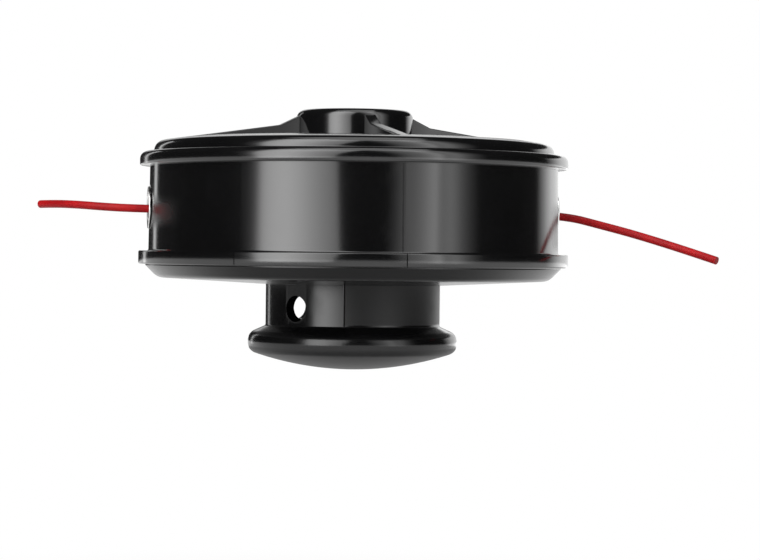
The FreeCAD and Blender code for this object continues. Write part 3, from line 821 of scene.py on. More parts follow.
@dataclass(frozen=True)
class MouldMark:
    """A fine upright line on a round wall: a raised flash line, or a V-shaped groove if it sinks."""

    half: float
    rise: float
    crown: float
    root: float = 0.6
    shortest: float = 1.0
    beside: float = 0.05

    def strip(self, radius: float, span: Span, lean: float) -> Piece:
        """The tapered strip that is added to the wall or cut from it.

        Args:
            radius: Radius of the wall at the lower end.
            span: Lower and upper end.
            lean: How far the upper end lies further in.

        Returns:
            The strip, on the -Y side.
        """
        low, high = span
        raised = self.rise > 0
        front = -radius - abs(self.rise)
        back = -radius + (self.root if raised else -self.rise)
        narrow = front if raised else back
        Bench.block("mould_mark", (-self.half, front, low), (self.half, back, high))
        Bench.pick(Pick.POINTS, lambda p: abs(p.y - narrow) < NEAR)
        bpy.ops.transform.resize(value=(self.crown, 1.0, 1.0))
        Bench.pick(Pick.POINTS, lambda p: p.z > high - NEAR)
        bpy.ops.transform.translate(value=(0.0, lean * MM, 0.0))
        return Bench.settle()

    def crease(self, piece: Piece, turn: float) -> None:
        """Keep the line's edges crisp under smooth shading.

        Args:
            piece: The moulding.
            turn: Place of the line, in degrees from -Y.
        """
        aside = about_axis(turn) @ Vector((1.0, 0.0, 0.0))
        reach = self.half + self.beside
        Bench.edit(piece)
        Bench.pick(
            Pick.EDGES,
            lambda a, b: abs(a.z - b.z) > self.shortest
            and abs(a.dot(aside)) < reach
            and abs(b.dot(aside)) < reach,
        )
        bpy.ops.mesh.mark_sharp()
        bpy.ops.object.mode_set(mode="OBJECT")

    def lay(self, piece: Piece, radius: float, span: Span, turns: Sequence[float], lean: float = 0.0) -> None:
        """Raise or cut the line at each turn.

        Args:
            piece: The moulding.
            radius: Radius of its wall at the lower end.
            span: Lower and upper end of the line.
            turns: Places round the wall, in degrees from -Y.
            lean: How far the upper end lies further in.
        """
        for turn in turns:
            strip = Bench.shift(self.strip(radius, span, lean), about_axis(turn))
            Bench.combine(piece, strip, Join.ADD if self.rise > 0 else Join.CUT)
            self.crease(piece, turn)


class Turning:
    """A form turned about the head's axis, grown from a circle by rings of a radius and a height."""

    def __init__(self, name: str, first: Ring, sides: int = 224) -> None:
        """Draw the first ring.

        Args:
            name: The piece's name.
            first: Radius and height of the first ring.
            sides: Points in a ring.
        """
        Bench.clear()
        bpy.ops.mesh.primitive_circle_add(
            vertices=sides, radius=first[0] * MM, fill_type="NOTHING", enter_editmode=True
        )
        self.piece = Bench.named(name)
        bpy.ops.mesh.select_mode(type="EDGE")
        bpy.ops.mesh.select_all(action="SELECT")
        bpy.ops.transform.translate(value=(0.0, 0.0, first[1] * MM))
        self.ring = first

    def rise(self, height: float) -> None:
        """Extrude the open ring straight to a height."""
        lift = (0.0, 0.0, (height - self.ring[1]) * MM)
        bpy.ops.mesh.extrude_edges_move(TRANSFORM_OT_translate={"value": lift})

    def grow(self, *rings: Ring) -> "Turning":
        """Extrude the open ring along a profile.

        Args:
            rings: Radius and height of each next ring.

        Returns:
            This turning.
        """
        for radius, height in rings:
            self.rise(height)
            share = radius / self.ring[0]
            bpy.ops.transform.resize(value=(share, share, 1.0))
            self.ring = (radius, height)
        return self

    def pole(self, height: float) -> "Turning":
        """Draw the open ring together on the axis, at a height.

        Args:
            height: Height of the pole.

        Returns:
            This turning.
        """
        self.rise(height)
        bpy.ops.mesh.merge(type="CENTER")
        return self

    def from_ring(self, ring: Ring) -> "Turning":
        """Take up an earlier ring again.

        Args:
            ring: Radius and height of the ring.

        Returns:
            This turning.
        """
        if not Bench.pick(Pick.EDGES, lambda a, b: on_ring(a, ring) and on_ring(b, ring)):
            raise ValueError(f"{self.piece.name} has no ring at {ring}")
        self.ring = ring
        return self

    def close(self) -> "Turning":
        """Bridge the last ring to the first.

        Returns:
            This turning.
        """
        bpy.ops.mesh.select_all(action="DESELECT")
        bpy.ops.mesh.select_non_manifold(
            extend=False, use_multi_face=False, use_non_contiguous=False, use_verts=False
        )
        bpy.ops.mesh.bridge_edge_loops()
        return self

    def soften(self, ring: Ring, edge: Round) -> "Turning":
        """Round one ring of the form.

        Args:
            ring: Radius and height of the sharp ring.
            edge: Radius of the rounding and number of facets in it.

        Returns:
            This turning.
        """
        self.from_ring(ring)
        Bench.bevel(edge)
        return self

    def done(self) -> Piece:
        """Close the work on the form."""
        return Bench.settle()


@dataclass
class Fitting:
    """What every sub-assembly does with a finished piece."""

    finishes: Finishes

    def fit(self, piece: Piece, body: Body, slot: Slot, node: str) -> Piece:
        """Dress a piece, set it on its body and let it stand for its solid.

        Args:
            piece: The finished piece.
            body: The body that carries it.
            slot: Its material slot.
            node: The solid that it replaces.

        Returns:
            The piece.
        """
        self.finishes.dress(piece, slot)
        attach(piece, body.value)
        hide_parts(node)
        LOG.info("%s stands for %s on %s", piece.name, node, body.value)
        return piece


@dataclass
class PhotoCamera:
    """The camera at the photograph's place."""

    azimuth: float = -7.3
    distance: float = 827.0
    height: float = -42.88
    lens: float = 129.6
    sensor: float = 36.0
    clip: Span = (0.01, 20.0)
    aim_right: float = 0.565
    aim_down: float = 0.565
    roll: float = 0.65

    def build(self) -> Piece:
        """Set up the camera and make it the scene's own.

        Returns:
            The camera.
        """
        data = bpy.data.cameras.new("photo_camera")
        data.lens = self.lens
        data.sensor_width = self.sensor
        data.clip_start, data.clip_end = self.clip
        camera = bpy.data.objects.new("photo_camera", data)
        bpy.context.scene.collection.objects.link(camera)
        turn = math.radians(self.azimuth)
        out = (math.sin(turn) * self.distance, -math.cos(turn) * self.distance, self.height)
        camera.location = Vector(out) * MM
        tilt = math.radians(QUARTER_TURN - self.aim_down)
        heading = about_axis(self.azimuth - self.aim_right) @ Matrix.Rotation(tilt, 3, "X")
        camera.rotation_euler = (heading @ about_axis(self.roll)).to_euler()
        bpy.context.scene.camera = camera
        return camera


@dataclass
class FreeLine(Fitting):
    """One free end of the trimmer line, from inside its eyelet to the bare tip."""

    side: Side
    route: Sequence[Point]
    length: float
    diameter: float = 2.4
    exit_x: float = 62.1
    round_steps: int = 6
    long_steps: int = 24
    curve_order: int = 3

    def curve(self, name: str) -> bpy.types.Curve:
        """Draw the line as one smooth curve along its route.

        Args:
            name: The curve's name.

        Returns:
            The curve.
        """
        curve = bpy.data.curves.new(name, "CURVE")
        curve.dimensions = "3D"
        curve.bevel_depth = self.diameter / 2 * MM
        curve.bevel_resolution = self.round_steps
        curve.resolution_u = self.long_steps
        curve.use_fill_caps = True
        spline = curve.splines.new("NURBS")
        spline.points.add(len(self.route) - 1)
        for point, place in zip(spline.points, self.route):
            point.co = (*(Vector(place) * MM), 1.0)
        spline.order_u = self.curve_order
        spline.use_endpoint_u = True
        return curve

    def build(self) -> Piece:
        """Returns:
            The line end.
        """
        side = self.side.name.lower()
        name = f"red_line_{side}"
        piece = bpy.data.objects.new(name, self.curve(name))
        bpy.context.scene.collection.objects.link(piece)
        self.fit(piece, Body.CASE, Slot.LINE, f"line_{side}")
        return piece


@dataclass
class TopCase(Fitting):
    """The moulded top: hub, ribbed plate, rim, upper flange, guide post and spigot.

    The spigot and the spring guide are given by outer radius, inner radius and lower end.
    """

    bore_r: float = 7.0
    hub_r: float = 17.5
    hub_edge: Round = (2.4, 8)
    plate_top: float = -11.98
    plate_bottom: float = -14.98
    plate_root: Round = (0.9, 4)
    rim_inner: Ring = (52.3, -9.033)
    rim_lip: Round = (0.5, 3)
    rim_outer: Ring = (60.3, -10.2)
    rim_edge: Round = (2.59, 9)
    step_z: float = -13.18
    step_root: Round = (0.25, 3)
    flange_r: float = 64.5
    flange_bottom: float = -17.28
    flange_edge: Round = (2.2, 7)
    flange_lip: Round = (0.35, 3)
    spigot: Tube = (58.65, 56.35, -20.28)
    spring_guide: Tube = (16.2, 14.7, -16.98)
    post_r: float = 10.0
    post_bottom: float = -44.48
    rib_half: float = 1.75
    rib_root: float = 1.0
    rib_edge: Round = (0.45, 3)
    rib_crest: Sequence[Ring] = ((15.75, -1.086), (23.4, -4.817), (54.05, -9.288))
    rib_turns: Sequence[float] = (7.9, 97.9, 187.9, 277.9)
    seat_flats: float = 19.1
    seat_span: Span = (-7.5, 2.0)
    seat_turn: float = 30.0
    collar_r: float = 13.05
    collar_span: Span = (-10.05, -7.45)
    collar_sides: int = 96
    stop_radii: Span = (40.0, 50.0)
    stop_half: float = 4.7
    stop_height: float = 2.7
    stop_root: float = 0.5
    stop_edge: Round = (0.6, 3)
    stop_count: int = 6

    def form(self) -> Piece:
        """Turn the top's section and round its edges.

        Returns:
            The top moulding.
        """
        spigot_r, spigot_inner, spigot_end = self.spigot
        guide_r, guide_inner, guide_end = self.spring_guide
        rim_r, step, low = self.rim_outer[0], self.step_z, self.plate_bottom
        work = Turning("top_moulding", (self.bore_r, self.post_bottom))
        work.grow((self.bore_r, 0.0), (self.hub_r, 0.0), (self.hub_r, self.plate_top))
        work.grow((self.rim_inner[0], self.plate_top), self.rim_inner, self.rim_outer)
        work.grow((rim_r, step), (self.flange_r, step), (self.flange_r, self.flange_bottom))
        work.grow((spigot_r, self.flange_bottom), (spigot_r, spigot_end), (spigot_inner, spigot_end))
        work.grow((spigot_inner, low), (guide_r, low), (guide_r, guide_end))
        work.grow((guide_inner, guide_end), (guide_inner, low))
        work.grow((self.post_r, low), (self.post_r, self.post_bottom))
        work.close()
        work.soften((self.hub_r, 0.0), self.hub_edge)
        work.soften(self.rim_outer, self.rim_edge)
        work.soften((self.flange_r, step), self.flange_edge)
        work.soften((self.flange_r, self.flange_bottom), self.flange_lip)
        work.soften(self.rim_inner, self.rim_lip)
        work.soften((self.hub_r, self.plate_top), self.plate_root)
        work.soften((self.rim_inner[0], self.plate_top), self.plate_root)
        work.soften((rim_r, step), self.step_root)
        return work.done()

    def rib(self) -> Piece:
        """Shape one rib from a block whose crest is drawn down towards the rim.

        Returns:
            The rib.
        """
        inner, knee, outer = self.rib_crest
        foot = (inner[0], -self.rib_half, self.plate_top - self.rib_root)
        Bench.block("rib", foot, (outer[0], self.rib_half, inner[1]))
        bpy.ops.mesh.bisect(plane_co=(knee[0] * MM, 0.0, 0.0), plane_no=(1.0, 0.0, 0.0))
        for radius, height in (knee, outer):
            Bench.pick(Pick.POINTS, lambda p: abs(p.x - radius) < NEAR and p.z > self.plate_top)
            bpy.ops.transform.translate(value=(0.0, 0.0, (height - inner[1]) * MM))
        crest = self.plate_top + self.rib_root
        Bench.pick(Pick.EDGES, lambda a, b: min(a.z, b.z) > crest and abs(a.y - b.y) < NEAR)
        Bench.bevel(self.rib_edge)
        return Bench.settle()

    def cut_nut_seat(self, piece: Piece) -> None:
        """Cut the six-sided seat of the nut, and the wider seat of its collar.

        Args:
            piece: The top moulding.
        """
        Bench.rod("seat", self.seat_flats / math.sqrt(3.0), *self.seat_span, HEX_SIDES)
        Bench.combine(piece, Bench.shift(Bench.settle(), about_axis(self.seat_turn)), Join.CUT)
        Bench.rod("collar_seat", self.collar_r, *self.collar_span, self.collar_sides)
        Bench.combine(piece, Bench.settle(), Join.CUT)

    def stop(self) -> Piece:
        """Shape one stop block under the plate.

        Returns:
            The stop.
        """
        inner, outer = self.stop_radii
        foot = (inner, -self.stop_half, self.plate_bottom - self.stop_height)
        Bench.block("stop", foot, (outer, self.stop_half, self.plate_bottom + self.stop_root))
        Bench.pick(Pick.EDGES, lambda a, b: abs(a.z - b.z) > self.stop_root)
        Bench.bevel(self.stop_edge)
        return Bench.settle()

    def build(self) -> Piece:
        """Make the top and fit it to the case.

        Returns:
            The finished top.
        """
        piece = self.form()
        Bench.repeat(piece, self.rib(), self.rib_turns)
        self.cut_nut_seat(piece)
        Bench.repeat(piece, self.stop(), evenly(self.stop_count))
        Bench.smooth(piece)
        return self.fit(piece, Body.CASE, Slot.CASE, "top_case")


@dataclass
class Drum(Fitting):
    """The moulded drum: wall, lower flange, eyelet seats and the marks of its mould."""

    inner_r: float = 58.75
    wall_r: float = 61.75
    draft: float = 0.3
    top: float = -17.28
    wall_bottom: float = -42.88
    wall_root: Round = (0.5, 4)
    flange_r: float = 64.75
    flange_edge: Round = (0.45, 4)
    bottom: float = -46.88
    eyelet_z: float = -30.08
    seat_sides: int = 72
    boss_r: float = 8.5
    boss_start: float = 57.55
    boss_bite: float = 1.5
    dish_radii: Span = (5.0, 7.88)
    dish_span: Span = (60.3, 62.1)
    hole_r: float = 4.6
    hole_lead: float = 3.0
    parting: MouldMark = MouldMark(half=0.75, rise=0.1, crown=0.1)
    parting_turns: Sequence[float] = (5.7, 185.7)
    parting_root: float = 0.2
    joint: MouldMark = MouldMark(half=0.3, rise=-0.3, crown=0.05)
    joint_turns: Sequence[float] = (-38.6, 6.2, 141.4, 186.2)
    joint_over: float = 1.0

    def form(self) -> Piece:
        """Turn the drum's section and round its edges.

        Returns:
            The drum moulding.
        """
        flange_top = (self.flange_r, self.wall_bottom)
        flange_low = (self.flange_r, self.bottom)
        work = Turning("drum_moulding", (self.inner_r, self.top))
        work.grow((self.wall_r - self.draft, self.top), (self.wall_r, self.wall_bottom))
        work.grow(flange_top, flange_low, (self.inner_r, self.bottom))
        work.close()
        work.soften(flange_top, self.flange_edge)
        work.soften(flange_low, self.flange_edge)
        work.soften((self.wall_r, self.wall_bottom), self.wall_root)
        return work.done()

    def across(self, name: str, radii: Span, span: Span, side: Side) -> Piece:
        """A straight or flaring rod along the eyelet axis on one side.

        Args:
            name: The piece's name.
            radii: Radius of the rod at its inner and outer end.
            span: Its ends, from the head's axis.
            side: Left or right.

        Returns:
            The rod.
        """
        Bench.rod(name, radii[0], *span, self.seat_sides)
        flare = radii[1] / radii[0]
        Bench.pick(Pick.POINTS, lambda p: p.z > span[1] - NEAR)
        bpy.ops.transform.resize(value=(flare, flare, 1.0))
        return Bench.shift(Bench.settle(), towards(side), (0.0, 0.0, self.eyelet_z))

    def cut_eyelet_seats(self, piece: Piece) -> None:
        """Add the bosses inside the wall, then cut the dishes and holes.

        Args:
            piece: The drum moulding.
        """
        boss = (self.boss_r, self.boss_r), (self.boss_start, self.wall_r - self.boss_bite)
        hole = (self.hole_r, self.hole_r), (self.boss_start - self.hole_lead, self.dish_span[1])
        for side in Side:
            Bench.combine(piece, self.across("boss", *boss, side), Join.ADD)
            Bench.combine(piece, self.across("dish", self.dish_radii, self.dish_span, side), Join.CUT)
            Bench.combine(piece, self.across("hole", *hole, side), Join.CUT)

    def mark(self, piece: Piece) -> None:
        """Raise the wall's parting lines and cut the joints of the lower flange.

        Args:
            piece: The drum moulding.
        """
        wall = (self.wall_bottom - self.parting_root, self.top)
        self.parting.lay(piece, self.wall_r, wall, self.parting_turns, self.draft)
        flange = (self.bottom - self.joint_over, self.wall_bottom + self.joint_over)
        self.joint.lay(piece, self.flange_r, flange, self.joint_turns)

    def build(self) -> Piece:
        """Make the drum and fit it to the case.

        Returns:
            The finished drum.
        """
        piece = self.form()
        self.cut_eyelet_seats(piece)
        self.mark(piece)
        Bench.smooth(piece)
        return self.fit(piece, Body.CASE, Slot.CASE, "drum")


@dataclass
class BottomCover(Fitting):
    """The conical cover with its spigot, neck hole and ring of ratchet teeth."""

    hole_r: float = 26.8
    hole_edge: Round = (0.7, 4)
    floor: float = -47.88
    bottom: float = -52.54
    bevel_low: Ring = (59.0, -50.88)
    bevel_edge: Round = (1.54, 8)
    bevel_high: Ring = (62.6, -47.28)
    top: float = -46.88
    spigot_r: float = 58.45
    spigot_inner: float = 55.85
    spigot_top: float = -42.88
    tooth_radii: Span = (30.0, 40.0)
    tooth_half: float = 10.44
    tooth_rise: float = 3.4
    tooth_root: float = 0.5
    tooth_count: int = 9

    def form(self) -> Piece:
        """Turn the cover's section and round its edges.

        Returns:
            The cover moulding.
        """
        work = Turning("cover_moulding", (self.hole_r, self.floor))
        work.grow((self.hole_r, self.bottom), self.bevel_low, self.bevel_high, (self.bevel_high[0], self.top))
        work.grow((self.spigot_r, self.top), (self.spigot_r, self.spigot_top))
        work.grow((self.spigot_inner, self.spigot_top), (self.spigot_inner, self.floor))
        work.close()
        work.soften((self.hole_r, self.bottom), self.hole_edge)
        work.soften(self.bevel_low, self.bevel_edge)
        return work.done()

    def tooth(self) -> Piece:
        """Shape one ramp of the ratchet from a block.

        Returns:
            The ramp.
        """
        inner, outer = self.tooth_radii
        foot = (inner, -self.tooth_half, self.floor - self.tooth_root)
        Bench.block("tooth", foot, (outer, self.tooth_half, self.floor + self.tooth_rise))
        Bench.pick(Pick.POINTS, lambda p: p.y < 0.0 and p.z > self.floor)
        bpy.ops.transform.translate(value=(0.0, 0.0, -self.tooth_rise * MM))
        return Bench.settle()

    def build(self) -> Piece:
        """Make the cover and fit it to the case.

        Returns:
            The finished cover.
        """
        piece = self.form()
        Bench.repeat(piece, self.tooth(), evenly(self.tooth_count))
        Bench.smooth(piece)
        return self.fit(piece, Body.CASE, Slot.COVER, "bottom_cover")


@dataclass
class BumpKnob(Fitting):
    """The hollow knob: neck with cross holes, sloping shoulder, rounded rim and domed bottom."""

    neck_r: float = 26.3
    inner_r: float = 22.9
    top: float = -43.78
    shoulder: float = -64.98
    shoulder_root: Round = (0.4, 3)
    rim_top: Ring = (30.6, -66.88)
    rim_top_edge: Round = (1.0, 5)
    rim_centre: Ring = (26.6, -69.88)
    rim_r: float = 5.0
    rim_reach: float = 36.87
    rim_steps: int = 5
    dome_edge: Ring = (30.6, -72.88)
    dome_round: Round = (1.1, 5)
    dome_steps: int = 14
    tip: float = -78.08
    floor: float = -70.58
    hole_r: float = 3.9
    hole_z: float = -59.64
    drill_over: float = 4.0
    hole_sides: int = 64
    hole_turns: Sequence[float] = (125.1, 222.8)
    marks_top: float = -51.0
    flash: MouldMark = MouldMark(half=0.14, rise=0.05, crown=0.4)
    flash_start: float = 0.9
    flash_turns: Sequence[float] = (-53.3, 126.7)
    seam: MouldMark = MouldMark(half=0.42, rise=-0.7, crown=0.05)
    seam_turns: Sequence[float] = (-12.6, 167.4)

    def rim(self) -> list[Ring]:
        """The rings of the rounded rim, an arc through its widest point."""
        rings = arc(self.rim_centre, self.rim_r, self.rim_reach, -self.rim_reach, self.rim_steps)
        return [self.rim_top, *rings[1:-1], self.dome_edge]

    def dome(self) -> list[Ring]:
        """The rings of the domed bottom, without its pole.

        Returns:
            The rings from the rim inwards.
        """
        edge, height = self.dome_edge
        sag = height - self.tip
        radius = (edge * edge + sag * sag) / (2 * sag)
        full = math.asin(edge / radius)
        angles = [full * (1 - step / self.dome_steps) for step in range(1, self.dome_steps)]
        return [(radius * math.sin(angle), self.tip + radius * (1 - math.cos(angle))) for angle in angles]

    def form(self) -> Piece:
        """Turn the knob inside and out, and round its edges.

        Returns:
            The knob moulding.
        """
        mouth = (self.inner_r, self.top)
        neck_end = (self.neck_r, self.shoulder)
        work = Turning("knob_moulding", mouth)
        work.grow((self.neck_r, self.top), neck_end, *self.rim(), *self.dome())
        work.pole(self.tip)
        work.from_ring(mouth).grow((self.inner_r, self.floor)).pole(self.floor)
        work.soften(self.rim_top, self.rim_top_edge)
        work.soften(self.dome_edge, self.dome_round)
        work.soften(neck_end, self.shoulder_root)
        return work.done()

    def mark(self, piece: Piece) -> None:
        """Raise the neck's faint flash lines and cut the seam beside its matt half.

        Args:
            piece: The knob moulding.
        """
        flash = (self.shoulder + self.flash_start, self.marks_top)
        self.flash.lay(piece, self.neck_r, flash, self.flash_turns)
        self.seam.lay(piece, self.neck_r, (self.shoulder, self.marks_top), self.seam_turns)

    def cut_holes(self, piece: Piece) -> None:
        """Drill the cross holes through the neck.

        Args:
            piece: The knob moulding.
        """
        span = (self.inner_r - self.drill_over, self.neck_r + self.drill_over)
        for turn in self.hole_turns:
            Bench.rod("drill", self.hole_r, *span, self.hole_sides)
            lay = about_axis(turn) @ towards(Side.RIGHT)
            Bench.combine(piece, Bench.shift(Bench.settle(), lay, (0.0, 0.0, self.hole_z)), Join.CUT)

    def build(self) -> Piece:
        """Make the knob and fit it to the spool's body.

        Returns:
            The finished knob.
        """
        piece = self.form()
        self.mark(piece)
        self.cut_holes(piece)
        Bench.smooth(piece)
        return self.fit(piece, Body.SPOOL, Slot.KNOB, "bump_knob")


@dataclass
class Eyelets(Fitting):
    """The two bell-mouthed metal eyelets, swaged into the drum wall."""

    throat: float = 2.1
    sides: int = 96
    end: float = 56.55
    end_mouth: Round = (1.4, 6)
    lip_r: float = 5.5
    lip_edge: Round = (0.3, 3)
    boss: float = 57.55
    body_r: float = 4.5
    seat: float = 60.3
    root_r: float = 4.9
    flange_r: float = 6.4
    flange_edge: Round = (0.25, 4)
    rim: float = 0.4
    face: float = 62.1
    face_mouth: Round = (3.4, 12)
    centre_z: float = -30.08

    def form(self) -> Piece:
        """Turn one eyelet on the head's axis.

        Returns:
            The eyelet, upright.
        """
        work = Turning("eyelet_form", (self.throat, self.end), self.sides)
        work.grow((self.lip_r, self.end), (self.lip_r, self.boss), (self.body_r, self.boss))
        work.grow((self.body_r, self.seat), (self.root_r, self.seat))
        work.grow((self.flange_r, self.face - self.rim), (self.flange_r, self.face), (self.throat, self.face))
        work.close()
        work.soften((self.throat, self.face), self.face_mouth)
        work.soften((self.throat, self.end), self.end_mouth)
        work.soften((self.flange_r, self.face), self.flange_edge)
        work.soften((self.lip_r, self.end), self.lip_edge)
        return work.done()

    def build(self) -> list[Piece]:
        """Make both eyelets and fit them to the case.

        Returns:
            The left and the right eyelet.
        """
        form = self.form()
        Bench.smooth(form)
        made = []
        for side in Side:
            name = side.name.lower()
            piece = Bench.copy(form, f"bell_eyelet_{name}")
            Bench.shift(piece, towards(side), (0.0, 0.0, self.centre_z))
            made.append(self.fit(piece, Body.CASE, Slot.EYELET, f"eyelet_{name}"))
        bpy.data.objects.remove(form)
        return made


@dataclass
class HubNut(Fitting):
    """The steel nut in the hub, with its left-hand thread cut in full."""

    flats: float = 19.0
    hex_turn: float = 30.0
    hex_height: float = 7.5
    hex_edge: Round = (0.35, 2)
    edge_reach: float = 0.1
    collar_r: float = 13.0
    collar_edge: Round = (0.3, 2)
    collar_lap: float = 0.01
    sides: int = 96
    bottom: float = -10.0
    minor_r: float = 5.19
    major_r: float = 6.0
    pitch: float = 1.5
    chamfer: float = 0.8
    bore_over: float = 1.0
    ridge_bite: float = 0.1
    ridge_start: float = -1.0
    ridge_root: float = 0.44
    ridge_crest: float = 0.28
    ridge_steps: int = 64

    def form(self) -> Piece:
        """Shape the hexagon and its collar, and bore them to the thread's outer size.

        Returns:
            The nut, without its thread.
        """
        Bench.rod("threaded_nut", self.flats / math.sqrt(3.0), -self.hex_height, 0.0, HEX_SIDES)
        Bench.pick(Pick.EDGES, lambda a, b: min(a.z, b.z) > -self.edge_reach)
        Bench.bevel(self.hex_edge)
        nut = Bench.shift(Bench.settle(), about_axis(self.hex_turn))
        Bench.rod("collar", self.collar_r, self.bottom, self.collar_lap - self.hex_height, self.sides)
        Bench.pick(Pick.EDGES, lambda a, b: max(a.z, b.z) < self.bottom + self.edge_reach)
        Bench.bevel(self.collar_edge)
        Bench.combine(nut, Bench.settle(), Join.ADD)
        Bench.combine(nut, self.bore(), Join.CUT)
        return nut

    def bore(self) -> Piece:
        """Turn the bore's plug, with a chamfer at either end.

        Returns:
            The plug.
        """
        mouth = self.major_r + self.chamfer / 2
        above, below = self.bore_over, self.bottom - self.bore_over
        plug = Turning("bore", (mouth, above), self.sides)
        plug.grow((mouth, 0.0), (self.major_r, -self.chamfer), (self.major_r, self.bottom + self.chamfer))
        plug.grow((mouth, self.bottom), (mouth, below)).pole(below)
        plug.from_ring((mouth, above)).pole(above)
        return plug.done()

    def thread(self) -> Piece:
        """Wind the thread's ridge: a tapered bar swept down the bore, left-handed.

        Returns:
            The ridge.
        """
        depth = self.major_r - self.minor_r
        turns = int((-self.bottom - 2 * self.chamfer) / self.pitch)
        root = self.pitch * self.ridge_root
        middle = self.minor_r + (depth + self.ridge_bite) / 2
        Bench.clear()
        bpy.ops.mesh.primitive_plane_add(size=MM, enter_editmode=True)
        ridge = Bench.named("thread_ridge")
        Bench.upright()
        bpy.ops.transform.resize(value=(depth + self.ridge_bite, 1.0, 2 * root))
        bpy.ops.transform.translate(value=(middle * MM, 0.0, (self.ridge_start - root) * MM))
        Bench.pick(Pick.POINTS, lambda p: p.x < self.minor_r + self.ridge_bite)
        bpy.ops.transform.resize(value=(1.0, 1.0, self.ridge_crest))
        Bench.wind(ridge, self.ridge_steps, turns, -self.pitch, -math.tau)
        return Bench.settle()

    def build(self) -> Piece:
        """Make the nut, lay the thread in its bore and fit it to the case.

        Returns:
            The finished nut.
        """
        nut = self.form()
        ridge = self.thread()
        Bench.hold(nut)
        ridge.select_set(True)
        bpy.ops.object.join()
        Bench.smooth(nut)
        return self.fit(nut, Body.CASE, Slot.NUT, "hub_nut")


@dataclass
class SpringCoil(Fitting):
    """The compression spring, wound from round wire with both ends ground flat."""

    coil_r: float = 17.5
    coil_steps: int = 72
    wire_r: float = 1.0
    wire_sides: int = 20
    low: float = -30.98
    high: float = -14.98
    turns: int = 4
    keep: float = 0.625

    def build(self) -> Piece:
        """Wind the wire, grind the ends and fit the coil to the case, with a mesh of its own.

        Returns:
            The finished coil.
        """
        Bench.clear()
        bpy.ops.mesh.primitive_circle_add(
            vertices=self.wire_sides, radius=self.wire_r * MM, fill_type="NGON", enter_editmode=True
        )
        coil = Bench.named("spring_coil")
        Bench.upright()
        bpy.ops.transform.translate(value=(self.coil_r * MM, 0.0, self.low * MM))
        Bench.wind(coil, self.coil_steps, self.turns, (self.high - self.low) / self.turns)
        for height, way in ((self.low, -1.0), (self.high, 1.0)):
            bpy.ops.mesh.select_all(action="SELECT")
            bpy.ops.mesh.bisect(
                plane_co=(0.0, 0.0, height * MM), plane_no=(0.0, 0.0, way), use_fill=True, clear_outer=True
            )
        Bench.settle()
        Bench.smooth(coil)
        self.fit(coil, Body.CASE, Slot.SPRING, "compression_spring")
        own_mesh(coil)
        return coil


@dataclass
class LineWindings(Fitting):
    """The line on the spool: in each chamber a ring whose outside shows the single turns."""

    core_r: float = 26.05
    outer_r: float = 47.0
    line_r: float = 1.2
    sides: int = 160
    arc_reach: float = 84.0
    arc_steps: int = 7
    shade_angle: float = 50.0
    chambers: dict[str, Span] = field(
        default_factory=lambda: {"upper": (-32.73, -26.13), "lower": (-41.63, -35.03)}
    )

    def turns(self, low: float, high: float) -> list[Ring]:
        """The rings round the outside, bulging at each turn of line.

        Args:
            low: Bottom of the winding.
            high: Top of the winding.

        Returns:
            The rings from the top down.
        """
        count = round((high - low) / (2 * self.line_r))
        pitch = (high - low) / count
        rings = []
        for turn in range(count):
            centre = (self.outer_r - pitch / 2, high - pitch * (turn + 0.5))
            rings += arc(centre, pitch / 2, self.arc_reach, -self.arc_reach, self.arc_steps)
        return rings

    def build(self) -> list[Piece]:
        """Make both windings and fit them to the spool's body.

        Returns:
            The upper and the lower winding.
        """
        made = []
        for name, (low, high) in self.chambers.items():
            work = Turning(f"wound_line_{name}", (self.core_r, high), self.sides)
            work.grow(*self.turns(low, high), (self.core_r, low))
            piece = work.close().done()
            Bench.smooth(piece, self.shade_angle)
            made.append(self.fit(piece, Body.SPOOL, Slot.LINE, f"line_winding_{name}"))
        return made


@dataclass
class InnerSolids:
    """The spool and thrust washer, whose solids stay and get their finish."""

    finishes: Finishes

    def dress(self) -> None:
        """Give the two solids their materials."""
        for node, slot in (("spool", Slot.SPOOL), ("thrust_washer", Slot.WASHER)):
            self.finishes.dress(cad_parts[node], slot)
            LOG.info("%s keeps its solid", node)


@dataclass(frozen=True)
class Softbox:
    """One soft lamp that faces the head."""

    name: str
    azimuth: float
    elevation: float
    width: float
    height: float
    level: float
    glow: Sequence[tuple[float, float]] = ((0.0, 1.0), (1.0, 1.0))
    distance: float = 1.2

    def build(self, aim: Vector) -> None:
        """Hang the lamp and point it.

        Args:
            aim: The point that it faces.
        """
        data = bpy.data.lights.new(self.name, "AREA")
        data.shape = "RECTANGLE"
        data.size = self.width
        data.size_y = self.height
        data.energy = self.level * math.pi * self.width * self.height
        data.use_nodes = True
        graph = Graph(data.node_tree)
        sheet = graph.node("ShaderNodeNewGeometry", {}, {}).outputs["Parametric"]
        along = graph.node("ShaderNodeSeparateXYZ", {}, {0: sheet}).outputs["X"]
        share = graph.node("ShaderNodeValToRGB", {"stops": self.glow}, {"Fac": along}).outputs["Color"]
        glow = graph.node("ShaderNodeEmission", {}, {"Strength": share})
        graph.node("ShaderNodeOutputLight", {}, {"Surface": glow.outputs[0]})
        lamp = bpy.data.objects.new(self.name, data)
        bpy.context.scene.collection.objects.link(lamp)
        turn, rise = math.radians(self.azimuth), math.radians(self.elevation)
        back = Vector((math.sin(turn) * math.cos(rise), -math.cos(turn) * math.cos(rise), math.sin(rise)))
        lamp.location = aim + back * self.distance
        lamp.rotation_euler = back.to_track_quat("Z", "Y").to_euler()


